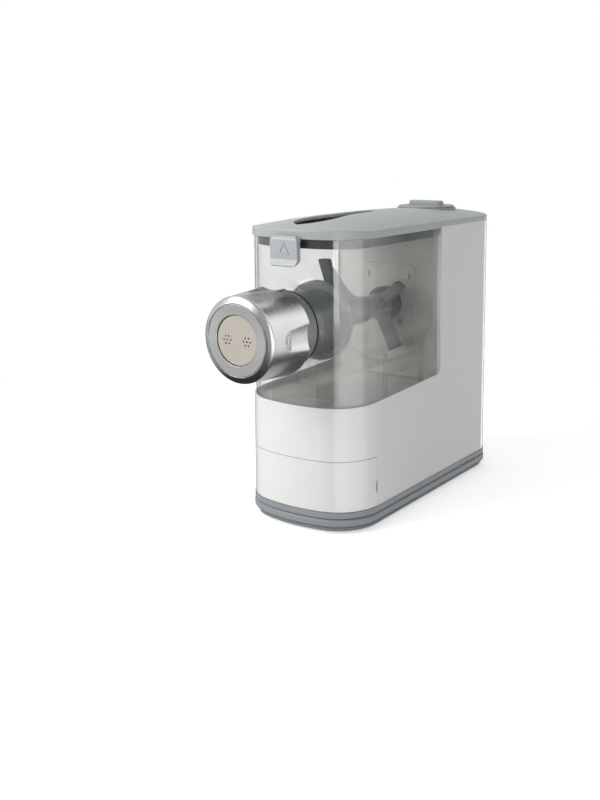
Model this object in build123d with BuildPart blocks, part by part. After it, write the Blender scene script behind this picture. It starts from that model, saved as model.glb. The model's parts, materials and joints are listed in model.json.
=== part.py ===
from build123d import *
from math import acos, asin, atan2, cos, degrees, hypot, pi, radians, sin, sqrt, tan
import os

# ---------------------------------------------------------------------------
# Electric pasta maker.  Millimetres, +Z up, the lock ring faces -Y.
# Origin: on the table, under the centre of the overall box.
# ---------------------------------------------------------------------------

# Overall size
overall_length = 350.0          # lock ring's front face to the back of the base
overall_width = 135.0           # across the base
overall_height = 287.0          # table to the top of the knob's grip
ring_reach = 68.5               # lock ring's front face ahead of the base's front

# Plan of the body: a bowed front, large front corners, straight sides
bow_radius = 150.0
front_corner_radius = 45.0
rear_corner_radius = 26.0
draft = 0.7                     # degrees, the walls above the base lean inwards
shell_inset = 1.2               # housing behind the edge of the base
shell_wall = 2.6
rim_wall = 1.4                  # thin rim of the housing round the foot of the chamber
seat_gap = 0.3                  # between separate mouldings
fit_gap = 0.05                  # radial running clearance of shafts and pins

# Heights above the table
foot_height = 2.0
base_top = 20.8
drawer_top = 69.0
deck_top = 115.0
rim_height = 118.0              # housing rim at the front
rim_slope = 2.0                 # degrees, the rim climbs to the rear
drive_height = 188.5            # axis of paddle, screw and lock ring
skirt_height = 266.8            # lower edge of the lid
cap_bottom = 268.0              # lower edge of the rear cap
crown_height = 282.6            # highest point of lid and cap
crown_edge = 271.9              # their height at the side walls

# Depths behind the front of the base
chamber_depth = 160.5           # back of the mixing chamber
column_depth = 165.0            # front edge of the housing's column
plate_depth = 168.0             # front face of the drive plate
seam_depth = 163.0              # front of the rear cap
drawer_seam_depth = 47.3

front_y = ring_reach - overall_length / 2
rear_y = overall_length / 2
half_width = overall_width / 2
bow_centre_y = front_y + bow_radius
corner_x = half_width - front_corner_radius
corner_y = bow_centre_y - sqrt((bow_radius - front_corner_radius) ** 2 - corner_x ** 2)
bow_angle = degrees(asin(corner_x / (bow_radius - front_corner_radius)))
chamber_back_y = front_y + chamber_depth
column_y = front_y + column_depth
plate_y = front_y + plate_depth
seam_y = front_y + seam_depth
drawer_seam_y = front_y + drawer_seam_depth
deck_thickness = 3.0
deck_bottom = deck_top - deck_thickness
far = 2 * overall_length        # longer than anything that is cut or kept

# Ridge of the domed top: depth and height of the curve's control points
crown_ridge = [(-12.0, crown_height - 23.1), (-4.0, crown_height - 4.8), (14.0, crown_height + 0.7),
               (50.0, crown_height - 0.1), (130.0, crown_height + 1.0), (215.0, crown_height + 1.0),
               (293.0, crown_height - 6.7)]

os.makedirs("parts", exist_ok=True)


# ---------- Shapes that several pieces share ----------

def plan_face(inset):
    """Fill the plan of the body, moved inwards by inset, in the open sketch."""
    side = half_width - inset
    bow = bow_radius - inset
    corner = front_corner_radius - inset
    rear_corner = rear_corner_radius - inset
    rear_corner_y = rear_y - rear_corner_radius
    with BuildLine() as outline:
        CenterArc((0, bow_centre_y), bow, 270, bow_angle)
        CenterArc((corner_x, corner_y), corner, 270 + bow_angle, 90 - bow_angle)
        Line((side, corner_y), (side, rear_corner_y))
        CenterArc((half_width - rear_corner_radius, rear_corner_y), rear_corner, 0, 90)
        Line((half_width - rear_corner_radius, rear_y - inset), (0, rear_y - inset))
        mirror(about=Plane.YZ)
    make_face(outline.edges())


def lean(z):
    """How far the drafted walls have moved inwards at a height."""
    return max(0.0, z - base_top) * tan(radians(draft))


def plan_prism(inset, low_z, high_z, low_y=-far, high_y=far, half_x=far, mode=Mode.ADD):
    """Add or cut a stretch of the body's plan between two heights, with its draft."""
    with BuildPart(mode=Mode.PRIVATE) as prism:
        with BuildSketch(Plane.XY.offset(low_z)):
            plan_face(inset + lean(low_z))
        extrude(amount=high_z - low_z, taper=draft if low_z >= base_top else 0)
        if (low_y, high_y, half_x) != (-far, far, far):
            with Locations((0, (low_y + high_y) / 2, (low_z + high_z) / 2)):
                Box(2 * half_x, high_y - low_y, 2 * (high_z - low_z), mode=Mode.INTERSECT)
    add(prism.part, mode=mode)


def crown_trim(drop):
    """Keep what lies under the domed top, lowered by drop, in the open part."""
    rows = [[Vector(x, front_y + y, z - drop) for x, z in
             ((-half_width, crown_edge), (0, 2 * ridge_z - crown_edge), (half_width, crown_edge))]
            for y, ridge_z in crown_ridge]
    dome = Face.make_bezier_surface(rows)
    extrude(dome, amount=crown_height, dir=(0, 0, -1), mode=Mode.INTERSECT)


def wall_plane(y):
    """Upright plane across the machine at depth y: local X is X and local Y is Z."""
    return Plane.XZ.offset(-y)


def rod(x, z, radius, low_y, high_y, mode=Mode.ADD):
    """Round bar along Y in the open part."""
    with BuildSketch(wall_plane(low_y)) as section:
        with Locations((x, z)):
            Circle(radius)
    extrude(section.sketch, amount=low_y - high_y, mode=mode)


def post(x, y, radius, low_z, high_z, mode=Mode.ADD):
    """Round bar along Z in the open part."""
    with BuildSketch(Plane.XY.offset(low_z)) as section:
        with Locations((x, y)):
            Circle(radius)
    extrude(section.sketch, amount=high_z - low_z, mode=mode)


def block(low, high, mode=Mode.ADD):
    """Rectangular rib, slot or tab between two corners in the open part."""
    size = [high[i] - low[i] for i in range(3)]
    with Locations(tuple((high[i] + low[i]) / 2 for i in range(3))):
        Box(*size, mode=mode)


def save(piece, name):
    """Label a finished piece and write it."""
    piece.part.label = name
    export_step(piece.part, f"parts/{name}.step")


# ---------- Base ----------

tray_wall = 4.3
tray_floor = 5.0
bulge_bottom = 7.0
bulge_top = 14.2
band_bottom = 15.2
groove_depth = 2.4
foot_radius = 9.0
foot_stem = 2.6
foot_spots = [(x, front_y + y) for x in (-46, 46) for y in (44, 250)]
base_boss_radius = 4.4
screw_radius = 1.7
base_screw_spots = [(side * x, front_y + y) for side in (-1, 1) for x, y in ((59.4, 66), (59.4, 156), (54.4, 268.4))]
screw_head_radius = 3.2
screw_head_height = 2.0
base_screw_top = 38.0
vent_length = 26.0
vent_width = 3.0
vent_count = 8
vent_pitch = 8.0
vent_y = front_y + 226.0

with BuildPart() as base_tray:
    # rounded bulge, drawn first so that its two rims can be rounded by themselves
    plan_prism(0, bulge_bottom, bulge_top)
    fillet(base_tray.edges().filter_by_position(Axis.Z, bulge_top, bulge_top), 2.2)
    fillet(base_tray.edges().filter_by_position(Axis.Z, bulge_bottom, bulge_bottom), 1.6)
    plan_prism(groove_depth, bulge_top, band_bottom)
    plan_prism(0.5, band_bottom, base_top)
    plan_prism(groove_depth + 0.8, foot_height + 3.4, bulge_bottom)
    # the foot of the tray tapers inwards
    with BuildSketch(Plane.XY.offset(foot_height + 3.4)):
        plan_face(groove_depth)
    extrude(amount=-3.4, taper=26)
    plan_prism(shell_inset + tray_wall, tray_floor, base_top, mode=Mode.SUBTRACT)
    # two long ribs and a cross rib carry the drawer bay
    for rib_x in (-34.0, 34.0):
        block((rib_x - 1.2, front_y + 14, tray_floor - 1), (rib_x + 1.2, front_y + 150, base_top))
    block((-50, front_y + 149, tray_floor - 1), (50, front_y + 151.4, base_top))
    for x, y in base_screw_spots:
        post(x, y, base_boss_radius, tray_floor - 1, base_top)
        post(x, y, screw_radius + fit_gap, 0, base_top, mode=Mode.SUBTRACT)
        post(x, y, screw_head_radius + seat_gap, 0, foot_height + screw_head_height + 1, mode=Mode.SUBTRACT)
    for x, y in foot_spots:
        post(x, y, foot_radius + 2.0, tray_floor - 1, tray_floor + 2.4)
        post(x, y, foot_radius + fit_gap, 0, foot_height + foot_stem, mode=Mode.SUBTRACT)
    # air inlets under the motor
    with BuildSketch(Plane.XY):
        with Locations((0, vent_y)):
            with GridLocations(vent_length + 8, vent_pitch, 2, vent_count):
                SlotOverall(vent_length, vent_width)
    extrude(amount=tray_floor + 1, mode=Mode.SUBTRACT)
save(base_tray, "base_tray")

with BuildPart() as rubber_feet:
    for x, y in foot_spots:
        post(x, y, foot_radius, 0, foot_height + foot_stem)
    fillet(rubber_feet.edges().filter_by_position(Axis.Z, 0, 0), 0.8)
save(rubber_feet, "rubber_feet")

with BuildPart() as base_screws:
    for x, y in base_screw_spots:
        head_bottom = foot_height + 1
        post(x, y, screw_head_radius, head_bottom, head_bottom + screw_head_height)
        post(x, y, screw_radius, head_bottom, base_screw_top)
save(base_screws, "base_screws")

# ---------- Housing shell: the white moulding with its column ----------

window_corner = 6.0
drawer_corner = 4.5
rim_drop = rim_height - front_y * tan(radians(rim_slope))   # rim height at depth zero
shell_inner = shell_inset + shell_wall
rail_depth = 2.7
rail_top = 260.0
plate_thickness = 3.0
plate_back_y = plate_y + plate_thickness
gland_x = 38.0
gland_z = 34.0
gland_radius = 5.5
board_half = 38.0
board_bottom = 150.0
board_top = 235.0
board_front_y = front_y + 270.0
board_back_y = board_front_y + 1.6
board_post_radius = 3.0
board_screw_radius = 1.2
board_post_end = front_y + 277.0
board_screw_spots = [(side * 32.0, z) for side in (-1, 1) for z in (156.0, 229.0)]

with BuildPart() as housing_shell:
    plan_prism(shell_inset, base_top, cap_bottom)
    # window round the mixing chamber, above the sloping rim
    window_low = rim_drop + column_y * tan(radians(rim_slope))
    with BuildSketch(Plane.YZ):
        with BuildLine():
            front_edge = front_y - 20
            Polyline((front_edge, rim_drop + front_edge * tan(radians(rim_slope))), (column_y, window_low),
                     (column_y, cap_bottom + 1), (front_edge, cap_bottom + 1), close=True)
        make_face()
        window_vertex = vertices().sort_by(Axis.X)[-2:].sort_by(Axis.Y)[0]
        fillet(window_vertex, window_corner)
    extrude(amount=far, both=True, mode=Mode.SUBTRACT)
    # hollow: lower bay, thin rim above the deck, column
    plan_prism(shell_inner, base_top, deck_bottom, mode=Mode.SUBTRACT)
    plan_prism(shell_inset + rim_wall, deck_bottom, cap_bottom, high_y=column_y + 1, mode=Mode.SUBTRACT)
    plan_prism(shell_inner, deck_bottom, cap_bottom, low_y=column_y, mode=Mode.SUBTRACT)
    # opening of the drawer, with rounded upper corners on the sides
    with BuildSketch(Plane.YZ):
        with BuildLine():
            Polyline((front_y - 20, base_top), (drawer_seam_y, base_top), (drawer_seam_y, drawer_top),
                     (front_y - 20, drawer_top), close=True)
        make_face()
        fillet(vertices().sort_by(Axis.X)[-2:].sort_by(Axis.Y)[1], drawer_corner)
    extrude(amount=far, both=True, mode=Mode.SUBTRACT)
    # screw bosses that stand on the base tray's bosses
    for x, y in base_screw_spots:
        post(x, y, base_boss_radius, base_top, base_screw_top + 6)
        post(x, y, screw_radius + fit_gap, base_top, base_screw_top + 1, mode=Mode.SUBTRACT)
    # upright rails in front of and behind the drive plate
    for low_y, high_y in ((column_y, plate_y - seat_gap), (plate_back_y + seat_gap, plate_back_y + rail_depth)):
        plan_prism(shell_inner - 0.5, deck_top, rail_top, low_y, high_y)
        plan_prism(shell_inner + 2.4, deck_top, rail_top + 5, low_y - 1, high_y + 1, mode=Mode.SUBTRACT)
    # posts that carry the control board
    for x, z in board_screw_spots:
        rod(x, z, board_post_radius, board_back_y, board_post_end)
        rod(x, z, board_screw_radius + fit_gap, board_back_y, board_post_end - 1, mode=Mode.SUBTRACT)
    rod(gland_x, gland_z, gland_radius + fit_gap, rear_y - 8, rear_y, mode=Mode.SUBTRACT)
save(housing_shell, "housing_shell")

# ---------- Deck that the chamber stands on ----------

chamber_inset = shell_inset + rim_wall + seat_gap

with BuildPart() as chamber_deck:
    plan_prism(chamber_inset, deck_bottom, deck_top, high_y=column_y - seat_gap)
    plan_prism(shell_inner + 1.0, deck_bottom, deck_top, low_y=column_y - 1, high_y=plate_y - seat_gap)
    # the ledge of the housing carries the deck, ribs underneath stiffen it
    plan_prism(shell_inner + 1.0, deck_bottom - 5, deck_bottom, low_y=front_y + 8, high_y=plate_y - 4)
    plan_prism(shell_inner + 3.0, deck_bottom - 5, deck_bottom, low_y=front_y + 10, high_y=plate_y - 6,
               mode=Mode.SUBTRACT)
    for rib_x in (-30.0, 0.0, 30.0):
        block((rib_x - 1, front_y + 9, deck_bottom - 5), (rib_x + 1, plate_y - 5, deck_bottom))
save(chamber_deck, "chamber_deck")

# ---------- Drive plate: the grey wall behind the chamber ----------

panel_half_width = 33.0
panel_bottom = 146.0
panel_top = 229.0
panel_corner = 7.0
panel_raise = 1.0
plate_top = cap_bottom - seat_gap
hinge_arm_x = 12.0
hinge_arm_width = 6.0
hinge_y = seam_y + 8.0
hinge_z = crown_height - 6.4
notch_bottom = hinge_z - 13.6
plate_screw_spots = [(-24.0, 217.5), (24.0, 217.5), (-17.0, 171.5), (17.0, 171.5)]
bearing_radius = 11.0
peg_spots = [(38.0, 236.0), (47.0, 233.0)]
peg_radius = 2.0
plunger_x = 40.0
plunger_z = 263.7
plunger_radius = 2.0

with BuildPart() as drive_plate:
    plan_prism(shell_inner + seat_gap, deck_bottom, plate_top, plate_y, plate_back_y)
    with BuildSketch(wall_plane(plate_y)):
        with Locations((0, (panel_bottom + panel_top) / 2)):
            RectangleRounded(2 * panel_half_width, panel_top - panel_bottom, panel_corner)
    extrude(amount=panel_raise)
    # notches for the lid's hinge arms
    for side in (-1, 1):
        notch_x = side * hinge_arm_x
        notch_half = hinge_arm_width / 2 + 0.7
        block((notch_x - notch_half, plate_y - 2, notch_bottom), (notch_x + notch_half, plate_back_y + 1, far),
              mode=Mode.SUBTRACT)
    rod(0, drive_height, bearing_radius + fit_gap, plate_y - 2, plate_back_y, mode=Mode.SUBTRACT)
    for x, z in plate_screw_spots:
        rod(x, z, screw_radius + fit_gap, plate_y - 2, plate_back_y, mode=Mode.SUBTRACT)
    for x, z in peg_spots:
        rod(x, z, peg_radius + fit_gap, plate_y - 2, plate_back_y, mode=Mode.SUBTRACT)
    rod(plunger_x, plunger_z, plunger_radius + fit_gap, plate_y - 2, plate_back_y, mode=Mode.SUBTRACT)
save(drive_plate, "drive_plate")

with BuildPart() as drive_plate_screws:
    for x, z in plate_screw_spots:
        rod(x, z, screw_head_radius, plate_y - screw_head_height - panel_raise, plate_y - panel_raise)
        rod(x, z, screw_radius, plate_y - panel_raise, plate_back_y + 2)
save(drive_plate_screws, "drive_plate_screws")

with BuildPart() as locating_pegs:
    for x, z in peg_spots:
        rod(x, z, peg_radius, plate_y - 2.6, plate_back_y)
    fillet(locating_pegs.edges().group_by(Axis.Y)[0], 0.8)
save(locating_pegs, "locating_pegs")

# ---------- Rear cap over the column ----------

cap_wall = 2.4
seam_gap = 0.4
nose_radius = hinge_y - seam_y
knob_y = front_y + 244.5
bezel_radius = 31.0
bezel_floor = 276.2
hinge_pin_radius = 1.6
knuckle_radius = 3.2
hinge_pin_half = 19.4
lug_half_length = 3.0
outer_lug_x = 17.9
outer_lug_width = 3.0
dial_shaft_radius = 3.5
neck_radius = dial_shaft_radius + 1.0


def seam_region(radius):
    """Side view of all that lies behind the seam's curve, in the open sketch."""
    rise_angle = degrees(asin((crown_height + 1 - hinge_z) / radius))
    with BuildLine() as outline:
        nose = CenterArc((hinge_y, hinge_z), radius, 180, -rise_angle)
        Polyline(nose @ 0, (hinge_y - radius, base_top), (far, base_top), (far, far), ((nose @ 1).X, far), nose @ 1)
    make_face(outline.edges())


def cross_bar(y, z, radius, low_x, high_x, mode=Mode.ADD):
    """Round bar along X in the open part."""
    with BuildSketch(Plane.YZ.offset(low_x)) as section:
        with Locations((y, z)):
            Circle(radius)
    extrude(section.sketch, amount=high_x - low_x, mode=mode)


with BuildPart() as cap_cavity:
    plan_prism(shell_inset + cap_wall, cap_bottom, far, low_y=seam_y + cap_wall)
    crown_trim(cap_wall)

with BuildPart() as top_cap:
    plan_prism(shell_inset, cap_bottom, far, low_y=seam_y)
    crown_trim(0)
    fillet(top_cap.faces().sort_by(Axis.Z)[-1].edges().filter_by_position(Axis.Y, seam_y + 1, far), 1.2)
    with BuildSketch(Plane.YZ):
        seam_region(nose_radius)
    extrude(amount=far, both=True, mode=Mode.INTERSECT)
    add(cap_cavity.part, mode=Mode.SUBTRACT)
    # spigot that locates the cap in the mouth of the column
    plan_prism(shell_inner + seat_gap, cap_bottom - 5, cap_bottom + 5, low_y=plate_back_y + 8)
    plan_prism(shell_inner + seat_gap + 2, cap_bottom - 5, cap_bottom + 5, low_y=plate_back_y + 6, mode=Mode.SUBTRACT)
    # round seat of the knob
    post(0, knob_y, bezel_radius + seat_gap + 1.2, bezel_floor - cap_wall, bezel_floor)
    post(0, knob_y, bezel_radius + seat_gap, bezel_floor, far, mode=Mode.SUBTRACT)
    post(0, knob_y, neck_radius + fit_gap, cap_bottom, far, mode=Mode.SUBTRACT)
    # lugs that carry the lid's hinge pin, and slots for the hinge arms
    for lug_x, half in ((0, lug_half_length), (-outer_lug_x, outer_lug_width / 2), (outer_lug_x, outer_lug_width / 2)):
        block((lug_x - half, hinge_y - 2.6, hinge_z - 4.2), (lug_x + half, hinge_y + 2.6, crown_height - cap_wall))
    cross_bar(hinge_y, hinge_z, hinge_pin_radius + fit_gap, -hinge_pin_half - 1, hinge_pin_half + 1,
              mode=Mode.SUBTRACT)
    for side in (-1, 1):
        slot_x = side * hinge_arm_x
        slot_half = hinge_arm_width / 2 + 0.7
        block((slot_x - slot_half, seam_y - 1, cap_bottom - 1), (slot_x + slot_half, hinge_y + 4.6, hinge_z + 3.6),
              mode=Mode.SUBTRACT)
save(top_cap, "top_cap")

with BuildPart() as hinge_pin:
    cross_bar(hinge_y, hinge_z, hinge_pin_radius, -hinge_pin_half, hinge_pin_half)
save(hinge_pin, "hinge_pin")

# ---------- Lid with its slot, inner rim and hinge arms ----------

lid_wall = 2.4
lid_back_y = hinge_y - nose_radius - seam_gap
lid_front_y = front_y + shell_inset + lean(skirt_height)
rim_clearance = 1.4
chamber_wall = 2.4
chamber_inner = chamber_inset + chamber_wall
rim_thickness = 1.8
rim_bottom = 258.4
slot_side = [(0.0, 17.0), (10.5, 27.0), (14.6, 44.0), (9.6, 82.0), (6.2, 118.0), (4.0, 141.0)]
slot_end = (0.0, 143.5)
clasp_pin_radius = 1.1
clasp_boss_radius = 2.0
clasp_boss_half = 9.0
clasp_pivot_y = lid_front_y - 3.4
clasp_pivot_z = 266.0
tab_half = 3.0
tab_reach = 3.0
tab_bottom = plunger_z - 1.8


def slot_face(grow=0.0):
    """Long pointed slot of the lid in the open sketch, widened by grow."""
    with BuildLine() as outline:
        edge = Spline(*[(x + grow * (x > 0), front_y + y) for x, y in slot_side])
        tip = (slot_end[0], front_y + slot_end[1])
        ThreePointArc(edge @ 1, ((edge @ 1).X * 0.72, (edge @ 1).Y + 1.8), tip)
        mirror(about=Plane.YZ)
    make_face(outline.edges())


with BuildPart() as lid_cavity:
    plan_prism(shell_inset + lid_wall, skirt_height, far, high_y=lid_back_y - lid_wall)
    crown_trim(lid_wall)

with BuildPart() as lid:
    plan_prism(shell_inset, skirt_height, far, high_y=seam_y + 12)
    crown_trim(0)
    fillet(lid.faces().sort_by(Axis.Z)[-1].edges().filter_by_position(Axis.Y, -far, seam_y + 11), 1.2)
    add(lid_cavity.part, mode=Mode.SUBTRACT)
    with BuildSketch(Plane.YZ):
        seam_region(nose_radius + seam_gap)
    extrude(amount=far, both=True, mode=Mode.SUBTRACT)
    with BuildSketch(Plane.XY.offset(skirt_height)):
        slot_face()
    extrude(amount=far, mode=Mode.SUBTRACT)
    # hinge arms run under the nose of the cap and turn on the pin
    for side in (-1, 1):
        with BuildSketch(Plane.YZ.offset(side * hinge_arm_x - hinge_arm_width / 2)):
            with Locations((hinge_y, hinge_z)):
                Circle(knuckle_radius)
            with BuildLine():
                Polyline((hinge_y - 2.2, hinge_z), (hinge_y + 2.2, hinge_z), (hinge_y + 2.2, hinge_z - 12.4),
                         (lid_back_y - lid_wall, hinge_z - 12.4), (lid_back_y - lid_wall, hinge_z - 4.0),
                         (lid_back_y - 0.2, hinge_z - 4.0), (lid_back_y - 0.2, hinge_z - 8.6),
                         (hinge_y - 2.2, hinge_z - 8.6), close=True)
            make_face()
        extrude(amount=hinge_arm_width)
    cross_bar(hinge_y, hinge_z, hinge_pin_radius + fit_gap, -far, far, mode=Mode.SUBTRACT)
    # tab that reaches back to the safety plunger
    block((plunger_x - tab_half, lid_back_y - 1.7, tab_bottom + 1),
          (plunger_x + tab_half, lid_back_y, skirt_height + 2))
    block((plunger_x - tab_half, lid_back_y - 0.4, tab_bottom),
          (plunger_x + tab_half, lid_back_y + tab_reach, tab_bottom + 3.6))
    # boss for the pin of the clasp, on a web from the lid's front wall
    cross_bar(clasp_pivot_y, clasp_pivot_z, clasp_boss_radius, -clasp_boss_half, clasp_boss_half)
    with BuildSketch(Plane.YZ.offset(-clasp_boss_half)):
        with BuildLine():
            Polyline((clasp_pivot_y, clasp_pivot_z - 1.8), (lid_front_y + 0.8, skirt_height),
                     (lid_front_y + 1.6, skirt_height), (lid_front_y + 1.6, clasp_pivot_z + 3.2),
                     (lid_front_y, clasp_pivot_z + 3.2), (clasp_pivot_y + 1.0, clasp_pivot_z + 1.2),
                     (clasp_pivot_y, clasp_pivot_z + 1.8), close=True)
        make_face()
    extrude(amount=2 * clasp_boss_half)
    cross_bar(clasp_pivot_y, clasp_pivot_z, clasp_pin_radius + fit_gap, -far, far, mode=Mode.SUBTRACT)
save(lid, "lid")

with BuildPart() as rim_core:
    plan_prism(chamber_inner + rim_clearance + rim_thickness, rim_bottom - 1, far,
               high_y=chamber_back_y - chamber_wall - rim_clearance - rim_thickness)

with BuildPart() as lid_rim:
    plan_prism(chamber_inner + rim_clearance, rim_bottom, far, high_y=chamber_back_y - chamber_wall - rim_clearance)
    crown_trim(lid_wall)
    add(rim_core.part, mode=Mode.SUBTRACT)
save(lid_rim, "lid_rim")

# ---------- Clasp on the lid's front ----------

clasp_half = 14.7
clasp_cheek = 1.6
clasp_reach = 3.8               # front of the clasp ahead of its pin
clasp_skin = 1.5
clasp_bottom = 243.5
clasp_corner = 5.0
catch_bottom = 252.0
catch_top = 254.0
catch_y = front_y + 4.0
clasp_pin_half = 13.0
emblem_size = 7.0

with BuildPart() as clasp_inside:
    with BuildSketch(Plane.YZ.offset(-clasp_half + clasp_cheek)):
        with BuildLine():
            Polyline((clasp_pivot_y - clasp_reach + clasp_skin, clasp_bottom + 4.5), (clasp_pivot_y + 4, clasp_bottom + 6),
                     (clasp_pivot_y + 4, clasp_pivot_z), (clasp_pivot_y - clasp_reach + clasp_skin, clasp_pivot_z),
                     close=True)
        make_face()
        with Locations((clasp_pivot_y, clasp_pivot_z)):
            Circle(clasp_reach - clasp_skin)
    extrude(amount=2 * (clasp_half - clasp_cheek))

with BuildPart() as lid_clasp:
    with BuildSketch(Plane.YZ.offset(-clasp_half)):
        with BuildLine():
            crest = CenterArc((clasp_pivot_y, clasp_pivot_z), clasp_reach, 90, 90)
            Polyline(crest @ 1, (clasp_pivot_y - clasp_reach + 0.3, clasp_bottom + 6),
                     (clasp_pivot_y - clasp_reach - 1.8, clasp_bottom + 0.6),
                     (clasp_pivot_y - clasp_reach - 0.9, clasp_bottom), (clasp_pivot_y - 1.6, clasp_bottom + 2.6),
                     (clasp_pivot_y + 1.2, clasp_bottom + 5), (clasp_pivot_y + 1.2, clasp_pivot_z - 1.6),
                     (clasp_pivot_y + 2.0, clasp_pivot_z), (clasp_pivot_y, clasp_pivot_z + 2.0), crest @ 0)
        make_face()
    extrude(amount=2 * clasp_half)
    with BuildSketch(wall_plane(clasp_pivot_y - 10)):
        with Locations((0, (clasp_bottom + clasp_pivot_z + clasp_reach) / 2)):
            RectangleRounded(2 * clasp_half, clasp_pivot_z + clasp_reach - clasp_bottom, clasp_corner)
    extrude(amount=-20, mode=Mode.INTERSECT)
    add(clasp_inside.part, mode=Mode.SUBTRACT)
    # bosses of the pin, and the rib that hooks under the chamber's catch
    for side in (-1, 1):
        cross_bar(clasp_pivot_y, clasp_pivot_z, clasp_boss_radius + 0.4, side * (clasp_boss_half + 0.4),
                  side * (clasp_half - 0.4))
    cross_bar(clasp_pivot_y, clasp_pivot_z, clasp_pin_radius + fit_gap, -clasp_pin_half - 0.2, clasp_pin_half + 0.2,
              mode=Mode.SUBTRACT)
    block((-8, clasp_pivot_y - clasp_reach + 0.8, catch_bottom - 2.5),
          (8, catch_y - 0.5, catch_bottom - 0.8))
    # embossed triangle that marks where to pull
    with BuildSketch(wall_plane(clasp_pivot_y - clasp_reach + 0.6)):
        with Locations((0, (clasp_bottom + clasp_pivot_z) / 2 + 3)):
            RegularPolygon(emblem_size, 3, rotation=90)
            RegularPolygon(emblem_size - 2.6, 3, rotation=90, mode=Mode.SUBTRACT)
    extrude(amount=1.0)
save(lid_clasp, "lid_clasp")

with BuildPart() as clasp_pin:
    cross_bar(clasp_pivot_y, clasp_pivot_z, clasp_pin_radius, -clasp_pin_half, clasp_pin_half)
save(clasp_pin, "clasp_pin")

# ---------- Knob, its seat and the switch under it ----------

bezel_top = 280.4
dial_radius = 29.0
dial_top = 282.2
grip_length = 39.5
grip_width = 11.0
switch_size = 22.0
switch_bottom = 261.0
dial_shaft_bottom = 266.0

with BuildPart() as knob_bezel:
    post(0, knob_y, bezel_radius, bezel_floor, bezel_top)
    fillet(knob_bezel.edges().group_by(Axis.Z)[-1], 1.0)
    post(0, knob_y, neck_radius + seat_gap, bezel_floor, bezel_top, mode=Mode.SUBTRACT)
save(knob_bezel, "knob_bezel")

with BuildPart() as control_knob:
    post(0, knob_y, dial_radius, bezel_top + seat_gap, dial_top)
    fillet(control_knob.edges().group_by(Axis.Z)[-1], 0.9)
    with BuildSketch(Plane.XY.offset(dial_top - 0.5)):
        with Locations((0, knob_y)):
            SlotOverall(grip_length, grip_width)
    extrude(amount=overall_height - dial_top + 0.5)
    fillet(control_knob.edges().group_by(Axis.Z)[-1], 1.8)
    post(0, knob_y, dial_shaft_radius, dial_shaft_bottom, bezel_top + 0.5)
    # pointer mark at one end of the grip
    block((grip_length / 2 - 9, knob_y - 0.8, overall_height - 0.7), (grip_length / 2 - 2.5, knob_y + 0.8, far),
          mode=Mode.SUBTRACT)
save(control_knob, "control_knob")

with BuildPart() as selector_switch:
    switch_top = bezel_floor - cap_wall
    block((-switch_size / 2, knob_y - switch_size / 2, switch_bottom),
          (switch_size / 2, knob_y + switch_size / 2, switch_top))
    chamfer(selector_switch.edges().filter_by(Axis.Z), 2)
    post(0, knob_y, neck_radius, switch_top, bezel_floor + 1)
    post(0, knob_y, dial_shaft_radius + fit_gap, dial_shaft_bottom - 1, far, mode=Mode.SUBTRACT)
    for terminal_x in (-6.0, 0.0, 6.0):
        block((terminal_x - 1.4, knob_y - 0.4, switch_bottom - 6), (terminal_x + 1.4, knob_y + 0.4, switch_bottom))
save(selector_switch, "selector_switch")

# ---------- Mixing chamber: the clear jar ----------

chamber_top = 266.5
rear_lip = 262.5                # its rear wall stays below the lid's hinge arms
tube_outer = 29.6
seal_outer = 17.6
boss_radius = 35.0
boss_y = front_y + 2.0

with BuildPart() as mixing_chamber:
    plan_prism(chamber_inset, deck_top, chamber_top, high_y=chamber_back_y)
    rod(0, drive_height, boss_radius, boss_y, front_y + 9)
    block((-9, catch_y, catch_bottom), (9, front_y + 8, catch_top))
    plan_prism(chamber_inner, deck_top, chamber_top, high_y=chamber_back_y - chamber_wall, mode=Mode.SUBTRACT)
    block((-far, chamber_back_y - 10, rear_lip), (far, chamber_back_y + 1, far), mode=Mode.SUBTRACT)
    rod(0, drive_height, tube_outer + fit_gap, front_y - 5, front_y + 30, mode=Mode.SUBTRACT)
    rod(0, drive_height, seal_outer + fit_gap, chamber_back_y - 5, chamber_back_y + 1, mode=Mode.SUBTRACT)
save(mixing_chamber, "mixing_chamber")

# ---------- Trough that holds the dough under the paddle ----------

trough_inner = 57.2
trough_wall = 1.8
trough_front_y = front_y + 42.0
trough_back_y = front_y + 157.6
trough_top = 200.0
ledge_x = 51.0
ledge_bottom = 134.0
ledge_top = 149.5
ledge_front_y = front_y + 80.0
ledge_back_y = front_y + 153.0
post_depth = 6.0
front_rib_x = 25.0
front_rib_top = 160.0

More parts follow.
